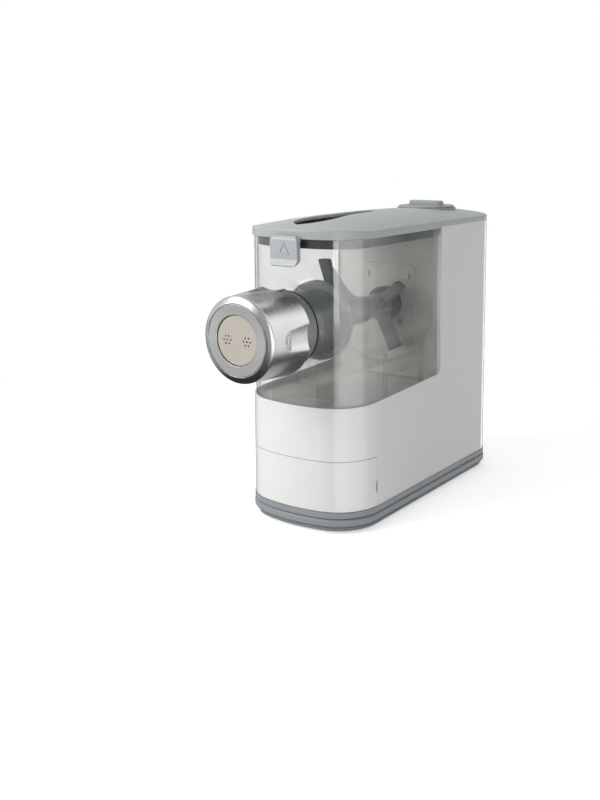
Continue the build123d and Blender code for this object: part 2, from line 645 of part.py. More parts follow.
with BuildPart() as dough_trough:
    with BuildSketch(wall_plane(trough_front_y)):
        with Locations((0, drive_height)):
            Circle(trough_inner + trough_wall)
        with Locations((0, (drive_height + trough_top) / 2)):
            Rectangle(2 * (trough_inner + trough_wall), trough_top - drive_height)
        with Locations((0, trough_top + far / 2)):
            Rectangle(far, far, mode=Mode.SUBTRACT)
    extrude(amount=trough_front_y - trough_back_y)
    rod(0, drive_height, trough_inner, trough_front_y + trough_wall, trough_back_y + 1, mode=Mode.SUBTRACT)
    block((-trough_inner, trough_front_y + trough_wall, drive_height), (trough_inner, trough_back_y + 1, far),
          mode=Mode.SUBTRACT)
    # side ledges on posts
    for side in (-1, 1):
        ledge_z = drive_height - sqrt((trough_inner + trough_wall) ** 2 - ledge_x ** 2) + 2
        low_x, high_x = side * ledge_x - 1, side * ledge_x + 1
        block((low_x, ledge_front_y, ledge_bottom), (high_x, ledge_back_y, ledge_top))
        for post_y in (ledge_front_y, ledge_back_y - post_depth):
            block((low_x, post_y, deck_top), (high_x, post_y + post_depth, ledge_z))
        # long ribs in front carry the front wall
        rib_low_x, rib_high_x = side * front_rib_x - 1, side * front_rib_x + 1
        block((rib_low_x, front_y + 10, deck_top), (rib_high_x, trough_front_y + 1, front_rib_top))
    block((-front_rib_x, trough_front_y, deck_top), (front_rib_x, trough_front_y + trough_wall, front_rib_top))
    rod(0, drive_height, tube_outer + seat_gap, trough_front_y - 1, trough_front_y + 10, mode=Mode.SUBTRACT)
save(dough_trough, "dough_trough")

# ---------- Extrusion tube with its ring, disc and screw ----------

tube_bore = 25.5
tube_front_y = front_y - 60.0
tube_back_y = front_y + 46.0
flange_radius = 37.0
flange_thickness = 5.0
collar_radius = 33.0
collar_front_y = front_y - 16.0
collar_back_y = front_y + 0.4
bayonet_front_y = front_y - 24.0
bayonet_depth = 4.0
bayonet_count = 3
bayonet_angle = 40.0


def ring_sectors(inner, outer, low_y, high_y, start, sweep, count, mode=Mode.ADD):
    """Equal pieces of a flat ring about the drive axis in the open part."""
    with BuildPart(mode=Mode.PRIVATE) as ring:
        with BuildSketch(Plane.XZ) as section:
            with BuildLine() as outline:
                rim = CenterArc((0, 0), outer, start, sweep)
                throat = CenterArc((0, 0), inner, start, sweep)
                Line(rim @ 0, throat @ 0)
                Line(rim @ 1, throat @ 1)
            make_face(outline.edges())
        extrude(section.sketch, amount=-(high_y - low_y))
    for index in range(count):
        with Locations(Location((0, low_y, drive_height), (0, 360 * index / count, 0))):
            add(ring.part, mode=mode)


with BuildPart() as extrusion_tube:
    rod(0, drive_height, tube_outer, tube_front_y, tube_back_y)
    rod(0, drive_height, flange_radius, tube_back_y, tube_back_y + flange_thickness)
    fillet(extrusion_tube.edges().group_by(Axis.Y)[-1], 1.2)
    rod(0, drive_height, collar_radius, collar_front_y, collar_back_y)
    ring_sectors(tube_outer - 0.5, collar_radius, bayonet_front_y, bayonet_front_y + bayonet_depth, 0,
                 bayonet_angle, bayonet_count)
    rod(0, drive_height, tube_bore, tube_front_y - 1, tube_back_y + flange_thickness + 1, mode=Mode.SUBTRACT)
save(extrusion_tube, "extrusion_tube")

with BuildPart() as tube_gasket:
    rod(0, drive_height, collar_radius + 0.4, collar_back_y, boss_y)
    rod(0, drive_height, tube_outer + fit_gap, collar_back_y, boss_y, mode=Mode.SUBTRACT)
save(tube_gasket, "tube_gasket")

disc_radius = 29.0
disc_thickness = 4.2
disc_boss_radius = 21.3
disc_boss_front_y = front_y - 67.6
die_radius = 0.9
die_ring = 3.6
die_offset = 10.5
disc_front_y = tube_front_y - disc_thickness

with BuildPart() as shaping_disc:
    rod(0, drive_height, disc_radius, disc_front_y, tube_front_y)
    rod(0, drive_height, disc_boss_radius, disc_boss_front_y, disc_front_y)
    fillet(shaping_disc.edges().group_by(Axis.Y)[0], 0.6)
    # two clusters of round outlets
    with BuildSketch(wall_plane(disc_boss_front_y)):
        for side in (-1, 1):
            with Locations((side * die_offset, drive_height)):
                Circle(die_radius)
                with PolarLocations(die_ring, 6):
                    Circle(die_radius)
    extrude(amount=disc_boss_front_y - tube_front_y, mode=Mode.SUBTRACT)
    # wide relief behind the outlets
    for side in (-1, 1):
        rod(side * die_offset, drive_height, die_ring + 2.4, disc_front_y + 0.6, tube_front_y, mode=Mode.SUBTRACT)
save(shaping_disc, "shaping_disc")

ring_radius = 37.1
ring_bore = 33.4
ring_lip = 21.7
ring_lip_depth = 4.0
ring_front_y = front_y - ring_reach
ring_back_y = front_y - 16.6
ring_bevel = 5.7
ring_bevel_depth = 3.6
scoop_count = 6
scoop_radius = 14.0
scoop_depth = 1.8
scoop_end_y = front_y - 48.0
ledge_depth = 2.6

with BuildPart() as lock_ring:
    rod(0, drive_height, ring_radius, ring_front_y, ring_back_y)
    chamfer(lock_ring.edges().group_by(Axis.Y)[0], ring_bevel_depth, ring_bevel)
    fillet(lock_ring.edges().group_by(Axis.Y)[-1], 0.8)
    rod(0, drive_height, ring_bore, ring_front_y + ring_lip_depth, ring_back_y + 1, mode=Mode.SUBTRACT)
    rod(0, drive_height, ring_lip, ring_front_y - 1, ring_back_y, mode=Mode.SUBTRACT)
    # finger scoops, closed by a rounded end towards the front
    scoop_reach = ring_radius + scoop_radius - scoop_depth
    for index in range(scoop_count):
        scoop_turn = radians(360 * (index + 0.5) / scoop_count)
        scoop_x = scoop_reach * cos(scoop_turn)
        scoop_z = drive_height + scoop_reach * sin(scoop_turn)
        rod(scoop_x, scoop_z, scoop_radius, scoop_end_y, ring_back_y + 1, mode=Mode.SUBTRACT)
        with Locations((scoop_x, scoop_end_y, scoop_z)):
            Sphere(scoop_radius, mode=Mode.SUBTRACT)
    # ledges that lie behind the tube's bayonet lugs
    ring_sectors(tube_outer + 0.4, ring_bore + 0.5, ring_back_y - ledge_depth, ring_back_y - 0.2, 0,
                 bayonet_angle, bayonet_count)
save(lock_ring, "lock_ring")

screw_core = 8.0
screw_flight = 24.8
screw_pitch = 20.0
flight_root = 2.6
flight_tip = 1.4
screw_front_y = front_y - 58.0
screw_back_y = front_y + 53.0
drive_hex = 6.0
hex_back_y = screw_back_y + 12.0

with BuildPart() as extruding_screw:
    rod(0, drive_height, screw_core, screw_front_y, screw_back_y)
    with BuildSketch(wall_plane(screw_back_y)):
        with Locations((0, drive_height)):
            RegularPolygon(drive_hex, 6)
    extrude(amount=screw_back_y - hex_back_y)
    # flight wound about the core
    with BuildPart(mode=Mode.PRIVATE) as flight:
        with BuildLine() as winding:
            Helix(screw_pitch, screw_back_y - screw_front_y - 2 * flight_root, screw_core)
        with BuildSketch(Plane.XZ) as flight_section:
            with BuildLine() as outline:
                Polyline((screw_core - 1, -flight_root), (screw_flight, -flight_tip), (screw_flight, flight_tip),
                         (screw_core - 1, flight_root), close=True)
            make_face(outline.edges())
        sweep(flight_section.sketch, path=winding.wire(), is_frenet=True)
    with Locations(Location((0, screw_back_y - flight_root, drive_height), (90, 0, 0))):
        add(flight.part)
save(extruding_screw, "extruding_screw")

# ---------- Mixing paddle ----------

paddle_front_y = screw_back_y + 0.3
paddle_back_y = front_y + 162.6
paddle_hub = 12.0
output_radius = 6.0
output_front_y = front_y + 150.0
arm_front_y = front_y + 60.0
arm_back_y = front_y + 66.0
pad_front_y = front_y + 54.5
rear_arm_front_y = front_y + 146.0
rear_arm_back_y = front_y + 154.0
fin_thickness = 5.0
fin_x = 3.0
# radius and depth of the shaft's outline
hub_outline = [(13.0, 57), (13.0, 70), (12.6, 80), (13.4, 92), (13.4, 116), (11.6, 130), (11.2, 140),
               (paddle_hub, 146)]
# outlines of the blades seen from the front, X and height
front_arm = [(-4, 187), (10.5, 187), (9.5, 206), (8.2, 222), (2.0, 243.4), (-8.6, 243.2), (-1.2, 222), (-3.2, 204)]
mixing_pad = [(-28.5, 216.5), (-18, 220.8), (-2, 206), (4, 196), (-4, 190), (-11, 197.5)]
upper_arm = [(-2, 196), (10, 190), (26, 203.6), (30.5, 209), (22.5, 214.6), (17, 209)]
lower_arm = [(-2, 181), (12, 180), (20, 164), (27, 149.8), (16.6, 144), (10, 158)]
# outline of the fin seen from the side, depth and height
side_fin = [(62, 232), (66, 235), (72, 230), (80, 220), (93, 209), (106, 202.4), (106, 190), (62, 190)]


def blade(points, low_y, high_y, corner):
    """Flat blade with rounded corners, seen from the front, in the open part."""
    with BuildSketch(wall_plane(low_y)) as section:
        with BuildLine() as outline:
            Polyline(*points, close=True)
        make_face(outline.edges())
        fillet(section.vertices(), corner)
    extrude(section.sketch, amount=low_y - high_y)


with BuildPart() as mixing_paddle:
    with BuildSketch(Plane.YZ):
        with BuildLine():
            Polyline((paddle_front_y, drive_height), (paddle_front_y, drive_height + paddle_hub),
                     *[(front_y + depth, drive_height + radius) for radius, depth in hub_outline],
                     (paddle_back_y, drive_height + paddle_hub), (paddle_back_y, drive_height), close=True)
        make_face()
    revolve(axis=Axis((0, 0, drive_height), (0, 1, 0)))
    blade(front_arm, arm_front_y, arm_back_y, 1.5)
    blade(mixing_pad, pad_front_y, arm_front_y + 1, 1.8)
    blade(upper_arm, rear_arm_front_y, rear_arm_back_y, 1.8)
    blade(lower_arm, rear_arm_front_y, rear_arm_back_y, 1.8)
    with BuildSketch(Plane.YZ.offset(fin_x - fin_thickness / 2)):
        with BuildLine():
            Polyline(*[(front_y + depth, z) for depth, z in side_fin], close=True)
        make_face()
    extrude(amount=fin_thickness)
    # sockets for the screw's hexagon and for the output shaft
    with BuildSketch(wall_plane(paddle_front_y)):
        with Locations((0, drive_height)):
            RegularPolygon(drive_hex + fit_gap, 6)
    extrude(amount=paddle_front_y - hex_back_y - 0.5, mode=Mode.SUBTRACT)
    rod(0, drive_height, output_radius + fit_gap, output_front_y - 0.5, paddle_back_y, mode=Mode.SUBTRACT)
save(mixing_paddle, "mixing_paddle")

# ---------- Drawer that stores the discs ----------

bay_half = 54.0
bay_wall = 1.6
bay_top = 67.6
bay_inset = shell_inner + 0.4
bay_back_y = front_y + 150.0
drawer_gap = 0.4
notch_z = 40.0
notch_length = 12.0
notch_depth = 2.5
tray_half = 51.6
tray_top = 60.0
tray_skin = 1.6
tray_inset = shell_inner + seat_gap
tray_back_y = front_y + 145.0
tray_bottom = base_top + bay_wall + seat_gap
drawer_travel = 110.0
drawer_screw_radius = 1.4
drawer_screw_spots = [(side * 30.0, z) for side in (-1, 1) for z in (31.0, 51.0)]

with BuildPart() as drawer_bay:
    plan_prism(bay_inset, base_top, bay_top, high_y=bay_back_y, half_x=bay_half)
    plan_prism(-1, base_top + bay_wall, bay_top - bay_wall, high_y=bay_back_y - bay_wall, half_x=bay_half - bay_wall,
               mode=Mode.SUBTRACT)
save(drawer_bay, "drawer_bay")

with BuildPart() as drawer_front:
    plan_prism(shell_inset, base_top + drawer_gap, drawer_top - drawer_gap, high_y=drawer_seam_y - drawer_gap)
    plan_prism(shell_inner, base_top + drawer_gap, drawer_top - drawer_gap, mode=Mode.SUBTRACT)
    # rounded upper corners and finger notches at the side edges
    with BuildSketch(Plane.YZ):
        with BuildLine():
            edge_y = drawer_seam_y - drawer_gap
            edge_z = drawer_top - drawer_gap
            round_corner = CenterArc((edge_y - drawer_corner, edge_z - drawer_corner), drawer_corner, 0, 90)
            Polyline(round_corner @ 0, (edge_y, base_top), (front_y - 20, base_top), (front_y - 20, edge_z),
                     round_corner @ 1)
        make_face()
        with Locations((drawer_seam_y - drawer_gap, notch_z)):
            SlotOverall(notch_length, 2 * notch_depth, rotation=90, mode=Mode.SUBTRACT)
    extrude(amount=far, both=True, mode=Mode.INTERSECT)
    # ribs behind the face stiffen it
    for x, z in drawer_screw_spots:
        rod(x, z, drawer_screw_radius + fit_gap, front_y + 5.3, front_y + 20, mode=Mode.SUBTRACT)
save(drawer_front, "drawer_front")

with BuildPart() as drawer_tray:
    plan_prism(tray_inset, tray_bottom, tray_top, high_y=tray_back_y, half_x=tray_half)
    plan_prism(tray_inset + tray_skin, tray_bottom + tray_skin, tray_top, high_y=tray_back_y - tray_skin,
               half_x=tray_half - tray_skin, mode=Mode.SUBTRACT)
    for x, z in drawer_screw_spots:
        rod(x, z, 3.6, front_y + 8.8, front_y + 10)
        rod(x, z, drawer_screw_radius + fit_gap, front_y + 5, front_y + 12, mode=Mode.SUBTRACT)
    # cross wall that keeps the discs upright
    block((-tray_half + 1, tray_back_y - 50, tray_bottom + 1), (tray_half - 1, tray_back_y - 50 + tray_skin, 48))
save(drawer_tray, "drawer_tray")

with BuildPart() as drawer_screws:
    for x, z in drawer_screw_spots:
        rod(x, z, 2.6, front_y + 10, front_y + 11.6)
        rod(x, z, drawer_screw_radius, front_y + 5.6, front_y + 10)
save(drawer_screws, "drawer_screws")

# ---------- Safety switch behind the drive plate ----------

plunger_front_y = lid_back_y + tab_reach + fit_gap
plunger_back_y = plate_back_y + 4.5
plunger_travel = 2.2
plunger_collar = 3.0

with BuildPart() as safety_plunger:
    rod(plunger_x, plunger_z, plunger_radius, plunger_front_y, plunger_back_y)
    fillet(safety_plunger.edges().group_by(Axis.Y)[0], 0.6)
    rod(plunger_x, plunger_z, plunger_collar, plate_back_y + 0.3, plate_back_y + 1.5)
save(safety_plunger, "safety_plunger")

with BuildPart() as safety_switch:
    block((plunger_x - 8, plate_back_y, plunger_z - 15), (plunger_x + 6, plate_back_y + 14, plunger_z + 3.6))
    rod(plunger_x, plunger_z, plunger_collar + 0.2, plate_back_y, plate_back_y + 4, mode=Mode.SUBTRACT)
    rod(plunger_x, plunger_z, plunger_radius + fit_gap, plate_back_y, plunger_back_y + plunger_travel + 0.5,
        mode=Mode.SUBTRACT)
    for terminal_z in (plunger_z - 12, plunger_z - 6):
        block((plunger_x - 3, plate_back_y + 14, terminal_z), (plunger_x + 1, plate_back_y + 19, terminal_z + 0.8))
save(safety_switch, "safety_switch")

# ---------- Seal and bearing of the paddle's drive ----------

panel_y = plate_y - panel_raise

with BuildPart() as hub_seal:
    rod(0, drive_height, seal_outer, chamber_back_y - 3, panel_y)
    chamfer(hub_seal.edges().group_by(Axis.Y)[0], 0.8)
    rod(0, drive_height, paddle_hub + fit_gap, chamber_back_y - 4, paddle_back_y, mode=Mode.SUBTRACT)
    rod(0, drive_height, output_radius + fit_gap, paddle_back_y, panel_y + 1, mode=Mode.SUBTRACT)
save(hub_seal, "hub_seal")

with BuildPart() as output_bearing:
    rod(0, drive_height, bearing_radius, panel_y, plate_back_y + 2.5)
    rod(0, drive_height, output_radius + fit_gap, panel_y - 1, plate_back_y + 3, mode=Mode.SUBTRACT)
save(output_bearing, "output_bearing")

# ---------- Gearbox: three reductions from the motor to the paddle ----------

motor_z = 84.0
second_axle_x = 14.0
case_half = 47.5
case_bottom = 69.5
case_top = 231.5
case_wall = 2.5
case_corner = 6.0
case_back_y = plate_back_y + 30.0
cover_back_y = case_back_y + case_wall
case_screw_radius = 1.5
case_screw_spots = [(side * 41.5, z) for side in (-1, 1) for z in (75.0, 226.0)]
case_post_radius = 4.0
axle_radius = 2.5
rotor_radius = 2.5
tooth_backlash = 0.4
tooth_addendum = 0.85           # in modules
tooth_dedendum = 1.25
output_layer = (plate_back_y + 3.2, plate_back_y + 11.2)
second_layer = (plate_back_y + 12.0, plate_back_y + 19.0)
first_layer = (plate_back_y + 20.5, plate_back_y + 27.0)
hub_back_y = case_back_y - 0.4
# module and tooth numbers of each reduction
first_module, pinion_teeth, first_teeth = 1.0, 12, 56
second_module, first_pinion_teeth, second_teeth = 1.25, 12, 44
third_module, second_pinion_teeth, output_teeth = 1.5, 14, 48
first_reach = first_module * (pinion_teeth + first_teeth) / 2
second_reach = second_module * (first_pinion_teeth + second_teeth) / 2
third_reach = third_module * (second_pinion_teeth + output_teeth) / 2
# the second axle hangs below the paddle's axis, the first one joins it to the motor
second_axle_z = drive_height - sqrt(third_reach ** 2 - second_axle_x ** 2)
motor_to_second = hypot(second_axle_x, second_axle_z - motor_z)
motor_corner = acos((first_reach ** 2 + motor_to_second ** 2 - second_reach ** 2)
                    / (2 * first_reach * motor_to_second))
first_axle_turn = atan2(second_axle_z - motor_z, second_axle_x) + motor_corner
first_axle_x = first_reach * cos(first_axle_turn)
first_axle_z = motor_z + first_reach * sin(first_axle_turn)


def gear_teeth(x, z, module, teeth, low_y, high_y, tooth_turn):
    """Spur gear in the open part; one tooth points along tooth_turn (radians)."""
    pitch = module * teeth / 2
    corners = []
    for index in range(teeth):
        centre_turn = tooth_turn + 2 * pi * index / teeth
        for side, step in ((-1, -tooth_dedendum), (-1, tooth_addendum), (1, tooth_addendum), (1, -tooth_dedendum)):
            half_tooth = pi * module / 4 - tooth_backlash / 2 - step * module * tan(radians(20))
            reach = pitch + step * module
            turn = centre_turn + side * half_tooth / reach
            corners.append((x + reach * cos(turn), z + reach * sin(turn)))
    with BuildSketch(wall_plane(low_y)) as section:
        with BuildLine() as outline:
            Polyline(*corners, close=True)
        make_face(outline.edges())
    extrude(section.sketch, amount=low_y - high_y)


def web_holes(x, z, reach, radius, count, low_y, high_y):
    """Ring of round lightening holes through a wheel's web."""
    with BuildSketch(wall_plane(low_y)) as section:
        with Locations((x, z)):
            with PolarLocations(reach, count):
                Circle(radius)
    extrude(section.sketch, amount=low_y - high_y, mode=Mode.SUBTRACT)


def meshing_turn(x, z, from_x, from_z, teeth, other_turn, other_teeth):
    """Turn of a wheel whose gap takes the other wheel's tooth on the line between them."""
    line_turn = atan2(from_z - z, from_x - x)
    other_line = line_turn + pi
    other_phase = (other_line - other_turn) * other_teeth
    return line_turn + (pi + other_phase) / teeth


with BuildPart() as gearbox_case:
    with BuildSketch(wall_plane(plate_back_y)):
        with Locations((0, (case_bottom + case_top) / 2)):
            RectangleRounded(2 * case_half, case_top - case_bottom, case_corner)
    extrude(amount=plate_back_y - case_back_y)
    with BuildSketch(wall_plane(plate_back_y + case_wall)):
        with Locations((0, (case_bottom + case_top) / 2)):
            RectangleRounded(2 * (case_half - case_wall), case_top - case_bottom - 2 * case_wall,
                             case_corner - case_wall)
    extrude(amount=plate_back_y + case_wall - case_back_y, mode=Mode.SUBTRACT)
    for x, z in case_screw_spots:
        rod(x, z, case_post_radius, plate_back_y, case_back_y)
        rod(x, z, case_screw_radius + fit_gap, case_back_y - 12, case_back_y, mode=Mode.SUBTRACT)
    for x, z in plate_screw_spots:
        rod(x, z, screw_radius + fit_gap, plate_back_y, plate_back_y + case_wall, mode=Mode.SUBTRACT)
    rod(0, drive_height, bearing_radius + fit_gap, plate_back_y, plate_back_y + case_wall, mode=Mode.SUBTRACT)
    for x, z in ((first_axle_x, first_axle_z), (second_axle_x, second_axle_z)):
        rod(x, z, axle_radius + fit_gap, plate_back_y, plate_back_y + case_wall, mode=Mode.SUBTRACT)
save(gearbox_case, "gearbox_case")

motor_radius = 34.0
motor_hole = 7.0
motor_plate_half = 41.0
motor_screw_spots = [(side * 37.5, z) for side in (-1, 1) for z in (80.0, 98.0)]

with BuildPart() as gearbox_cover:
    with BuildSketch(wall_plane(case_back_y)):
        with Locations((0, (case_bottom + case_top) / 2)):
            RectangleRounded(2 * case_half, case_top - case_bottom, case_corner)
    extrude(amount=case_back_y - cover_back_y)
    # raised seats of the shafts
    for x, z, radius in ((0, drive_height, 11.0), (first_axle_x, first_axle_z, 6.0),
                         (second_axle_x, second_axle_z, 6.0)):
        rod(x, z, radius, case_back_y, cover_back_y + 1)
    for x, z, radius in ((0, drive_height, output_radius), (first_axle_x, first_axle_z, axle_radius),
                         (second_axle_x, second_axle_z, axle_radius), (0, motor_z, motor_hole - 3)):
        rod(x, z, radius + fit_gap, case_back_y, cover_back_y + 2, mode=Mode.SUBTRACT)
    for x, z in case_screw_spots:
        rod(x, z, case_screw_radius + fit_gap, case_back_y, cover_back_y, mode=Mode.SUBTRACT)
    for x, z in motor_screw_spots:
        rod(x, z, screw_radius + fit_gap, case_back_y, cover_back_y, mode=Mode.SUBTRACT)
save(gearbox_cover, "gearbox_cover")

with BuildPart() as gearbox_screws:
    for x, z in case_screw_spots:
        rod(x, z, 2.8, cover_back_y, cover_back_y + 1.8)
        rod(x, z, case_screw_radius, case_back_y - 10, cover_back_y)
save(gearbox_screws, "gearbox_screws")

with BuildPart() as gear_axles:
    for x, z in ((first_axle_x, first_axle_z), (second_axle_x, second_axle_z)):
        rod(x, z, axle_radius, plate_back_y + 0.5, cover_back_y + 0.5)
save(gear_axles, "gear_axles")

pinion_turn = atan2(first_axle_z - motor_z, first_axle_x)
first_wheel_turn = meshing_turn(first_axle_x, first_axle_z, 0, motor_z, first_teeth, pinion_turn, pinion_teeth)
first_pinion_turn = atan2(second_axle_z - first_axle_z, second_axle_x - first_axle_x)
second_wheel_turn = meshing_turn(second_axle_x, second_axle_z, first_axle_x, first_axle_z, second_teeth,
                                 first_pinion_turn, first_pinion_teeth)
second_pinion_turn = atan2(drive_height - second_axle_z, -second_axle_x)
output_wheel_turn = meshing_turn(0, drive_height, second_axle_x, second_axle_z, output_teeth,
                                 second_pinion_turn, second_pinion_teeth)

with BuildPart() as first_gear:
    gear_teeth(first_axle_x, first_axle_z, first_module, first_teeth, *first_layer, first_wheel_turn)
    web_holes(first_axle_x, first_axle_z, 17.0, 4.5, 6, *first_layer)
    gear_teeth(first_axle_x, first_axle_z, second_module, first_pinion_teeth, *second_layer, first_pinion_turn)
    rod(first_axle_x, first_axle_z, 4.5, output_layer[0], hub_back_y)
    rod(first_axle_x, first_axle_z, axle_radius + fit_gap, plate_back_y, cover_back_y, mode=Mode.SUBTRACT)
save(first_gear, "first_gear")

with BuildPart() as second_gear:
    gear_teeth(second_axle_x, second_axle_z, second_module, second_teeth, *second_layer, second_wheel_turn)
    web_holes(second_axle_x, second_axle_z, 19.0, 4.0, 6, *second_layer)
    gear_teeth(second_axle_x, second_axle_z, third_module, second_pinion_teeth, *output_layer, second_pinion_turn)
    rod(second_axle_x, second_axle_z, 5.0, output_layer[0], hub_back_y)
    rod(second_axle_x, second_axle_z, axle_radius + fit_gap, plate_back_y, cover_back_y, mode=Mode.SUBTRACT)
save(second_gear, "second_gear")

with BuildPart() as output_gear:
    gear_teeth(0, drive_height, third_module, output_teeth, *output_layer, output_wheel_turn)
    web_holes(0, drive_height, 23.0, 6.0, 6, *output_layer)
    rod(0, drive_height, 10.0, output_layer[0], hub_back_y)
    rod(0, drive_height, output_radius + fit_gap, plate_back_y, cover_back_y, mode=Mode.SUBTRACT)
save(output_gear, "output_gear")

with BuildPart() as output_shaft:
    rod(0, drive_height, output_radius, output_front_y, cover_back_y + 0.8)
    chamfer(output_shaft.edges().group_by(Axis.Y)[0], 0.8)
save(output_shaft, "output_shaft")

# ---------- Motor ----------

motor_plate_back_y = cover_back_y + 2.0
can_back_y = motor_plate_back_y + 52.5
bell_back_y = can_back_y + 5.0
can_wall = 2.0
motor_bearing_radius = motor_hole
magnet_inner = 26.5
armature_radius = 25.0
commutator_radius = 11.0
fan_radius = 30.0
fan_front_y = bell_back_y + 3.0
fan_back_y = fan_front_y + 7.0
rotor_back_y = fan_back_y + 1.5
blade_count = 9

with BuildPart() as motor_plate:
    with BuildSketch(wall_plane(cover_back_y)):
        with Locations((0, motor_z + 1)):
            RectangleRounded(2 * motor_plate_half, 76, 8)
    extrude(amount=cover_back_y - motor_plate_back_y)
    rod(0, motor_z, motor_bearing_radius + fit_gap, cover_back_y - 1, motor_plate_back_y, mode=Mode.SUBTRACT)
    for x, z in case_screw_spots:
        rod(x, z, 4.0, cover_back_y - 1, motor_plate_back_y, mode=Mode.SUBTRACT)
    for x, z in motor_screw_spots:
        rod(x, z, screw_radius + fit_gap, cover_back_y - 1, motor_plate_back_y, mode=Mode.SUBTRACT)
    for x, z, radius in ((0, drive_height, 12.0), (first_axle_x, first_axle_z, 7.0)):
        rod(x, z, radius, cover_back_y - 1, motor_plate_back_y, mode=Mode.SUBTRACT)
save(motor_plate, "motor_plate")

with BuildPart() as motor_screws:
    for x, z in motor_screw_spots:
        rod(x, z, 3.2, motor_plate_back_y, motor_plate_back_y + 2)
        rod(x, z, screw_radius, case_back_y - 0.8, motor_plate_back_y)
save(motor_screws, "motor_screws")

with BuildPart() as motor_can:
    rod(0, motor_z, motor_radius, motor_plate_back_y, can_back_y)
    fillet(motor_can.edges().group_by(Axis.Y)[0], 1.5)
    rod(0, motor_z, motor_radius - can_wall, motor_plate_back_y + can_wall + 0.5, can_back_y, mode=Mode.SUBTRACT)
    rod(0, motor_z, motor_bearing_radius + fit_gap, motor_plate_back_y, can_back_y, mode=Mode.SUBTRACT)
    # air slots round the drive end
    with BuildSketch(wall_plane(motor_plate_back_y)):
        with Locations((0, motor_z)):
            with PolarLocations(19.0, 8):
                SlotOverall(11, 4.5)
    extrude(amount=-6, mode=Mode.SUBTRACT)
save(motor_can, "motor_can")

with BuildPart() as motor_end_bell:
    rod(0, motor_z, motor_radius, can_back_y, bell_back_y)
    fillet(motor_end_bell.edges().group_by(Axis.Y)[-1], 1.5)
    rod(0, motor_z, motor_radius - can_wall - 0.3, can_back_y - 2, can_back_y)
    rod(0, motor_z, motor_radius - 2 * can_wall, can_back_y - 2, can_back_y, mode=Mode.SUBTRACT)
    rod(0, motor_z, motor_bearing_radius + fit_gap, can_back_y, bell_back_y, mode=Mode.SUBTRACT)
    with BuildSketch(wall_plane(can_back_y)):
        with Locations((0, motor_z)):
            with PolarLocations(20.0, 6):
                SlotOverall(12, 6)
    extrude(amount=can_back_y - bell_back_y, mode=Mode.SUBTRACT)
save(motor_end_bell, "motor_end_bell")

with BuildPart() as motor_bearings:
    for low_y, high_y in ((cover_back_y, motor_plate_back_y + 3), (can_back_y, bell_back_y)):
        rod(0, motor_z, motor_bearing_radius, low_y, high_y)
        rod(0, motor_z, rotor_radius + fit_gap, low_y - 1, high_y + 1, mode=Mode.SUBTRACT)
save(motor_bearings, "motor_bearings")

with BuildPart() as field_magnets:
    with BuildSketch(wall_plane(motor_plate_back_y + 8.5)):
        with Locations((0, motor_z)):
            Circle(motor_radius - can_wall - fit_gap)
            Circle(magnet_inner, mode=Mode.SUBTRACT)
            Rectangle(2 * motor_radius, 16, mode=Mode.SUBTRACT)
    extrude(amount=-36)
save(field_magnets, "field_magnets")

with BuildPart() as armature:
    with BuildSketch(wall_plane(motor_plate_back_y + 10)):
        with Locations((0, motor_z)):
            Circle(armature_radius)
            with PolarLocations(armature_radius - 2.5, 12):
                SlotOverall(8, 3, mode=Mode.SUBTRACT)
    extrude(amount=-34)
    rod(0, motor_z, armature_radius - 6, motor_plate_back_y + 6, can_back_y - 8)
    rod(0, motor_z, commutator_radius, can_back_y - 8, can_back_y - 1.5)
    rod(0, motor_z, rotor_radius + fit_gap, motor_plate_back_y, can_back_y, mode=Mode.SUBTRACT)
save(armature, "armature")

with BuildPart() as brush_holders:
    for side in (-1, 1):
        low_x, high_x = sorted((side * (commutator_radius + 0.3), side * 28.0))
        block((low_x, can_back_y - 6.5, motor_z - 3.5), (high_x, can_back_y, motor_z + 3.5))
save(brush_holders, "brush_holders")

with BuildPart() as rotor_shaft:
    rod(0, motor_z, rotor_radius, first_layer[0] - 0.5, rotor_back_y)
save(rotor_shaft, "rotor_shaft")

with BuildPart() as motor_pinion:
    gear_teeth(0, motor_z, first_module, pinion_teeth, first_layer[0], case_back_y - 1, pinion_turn)
    rod(0, motor_z, rotor_radius + fit_gap, first_layer[0], case_back_y, mode=Mode.SUBTRACT)
save(motor_pinion, "motor_pinion")

with BuildPart() as cooling_fan:
    rod(0, motor_z, fan_radius, fan_back_y - 1.6, fan_back_y)
    rod(0, motor_z, 7.0, fan_front_y, fan_back_y)
    with BuildSketch(wall_plane(fan_front_y)):
        with Locations((0, motor_z)):
            with PolarLocations(17.5, blade_count):
                Rectangle(24, 1.6, rotation=20)
    extrude(amount=fan_front_y - fan_back_y)
    rod(0, motor_z, rotor_radius + fit_gap, fan_front_y - 1, fan_back_y + 1, mode=Mode.SUBTRACT)
save(cooling_fan, "cooling_fan")

# ---------- Control board and cord gland ----------

with BuildPart() as control_board:
    block((-board_half, board_front_y, board_bottom), (board_half, board_back_y, board_top))
    for x, z in board_screw_spots:
        rod(x, z, board_screw_radius + fit_gap, board_front_y, board_back_y, mode=Mode.SUBTRACT)
save(control_board, "control_board")

with BuildPart() as board_parts:
    # heat sink with fins
    block((-28, board_front_y - 3, 170), (-4, board_front_y, 200))
    for fin_index in range(5):
        fin_left = -28 + fin_index * 5.6
        block((fin_left, board_front_y - 18, 170), (fin_left + 1.6, board_front_y - 2, 200))
    # capacitors, relay and connectors
    for x, z, radius, length in ((10, 180, 8.0, 24), (27, 180, 5.0, 16), (27, 194, 5.0, 16), (12, 200, 4.0, 10)):
        rod(x, z, radius, board_front_y - length, board_front_y)
    block((-26, board_front_y - 15, 208), (-2, board_front_y, 224))
    block((8, board_front_y - 8, 212), (26, board_front_y, 222))
    block((-24, board_front_y - 9, 155), (0, board_front_y, 162))
    block((8, board_front_y - 9, 155), (24, board_front_y, 162))
save(board_parts, "board_parts")

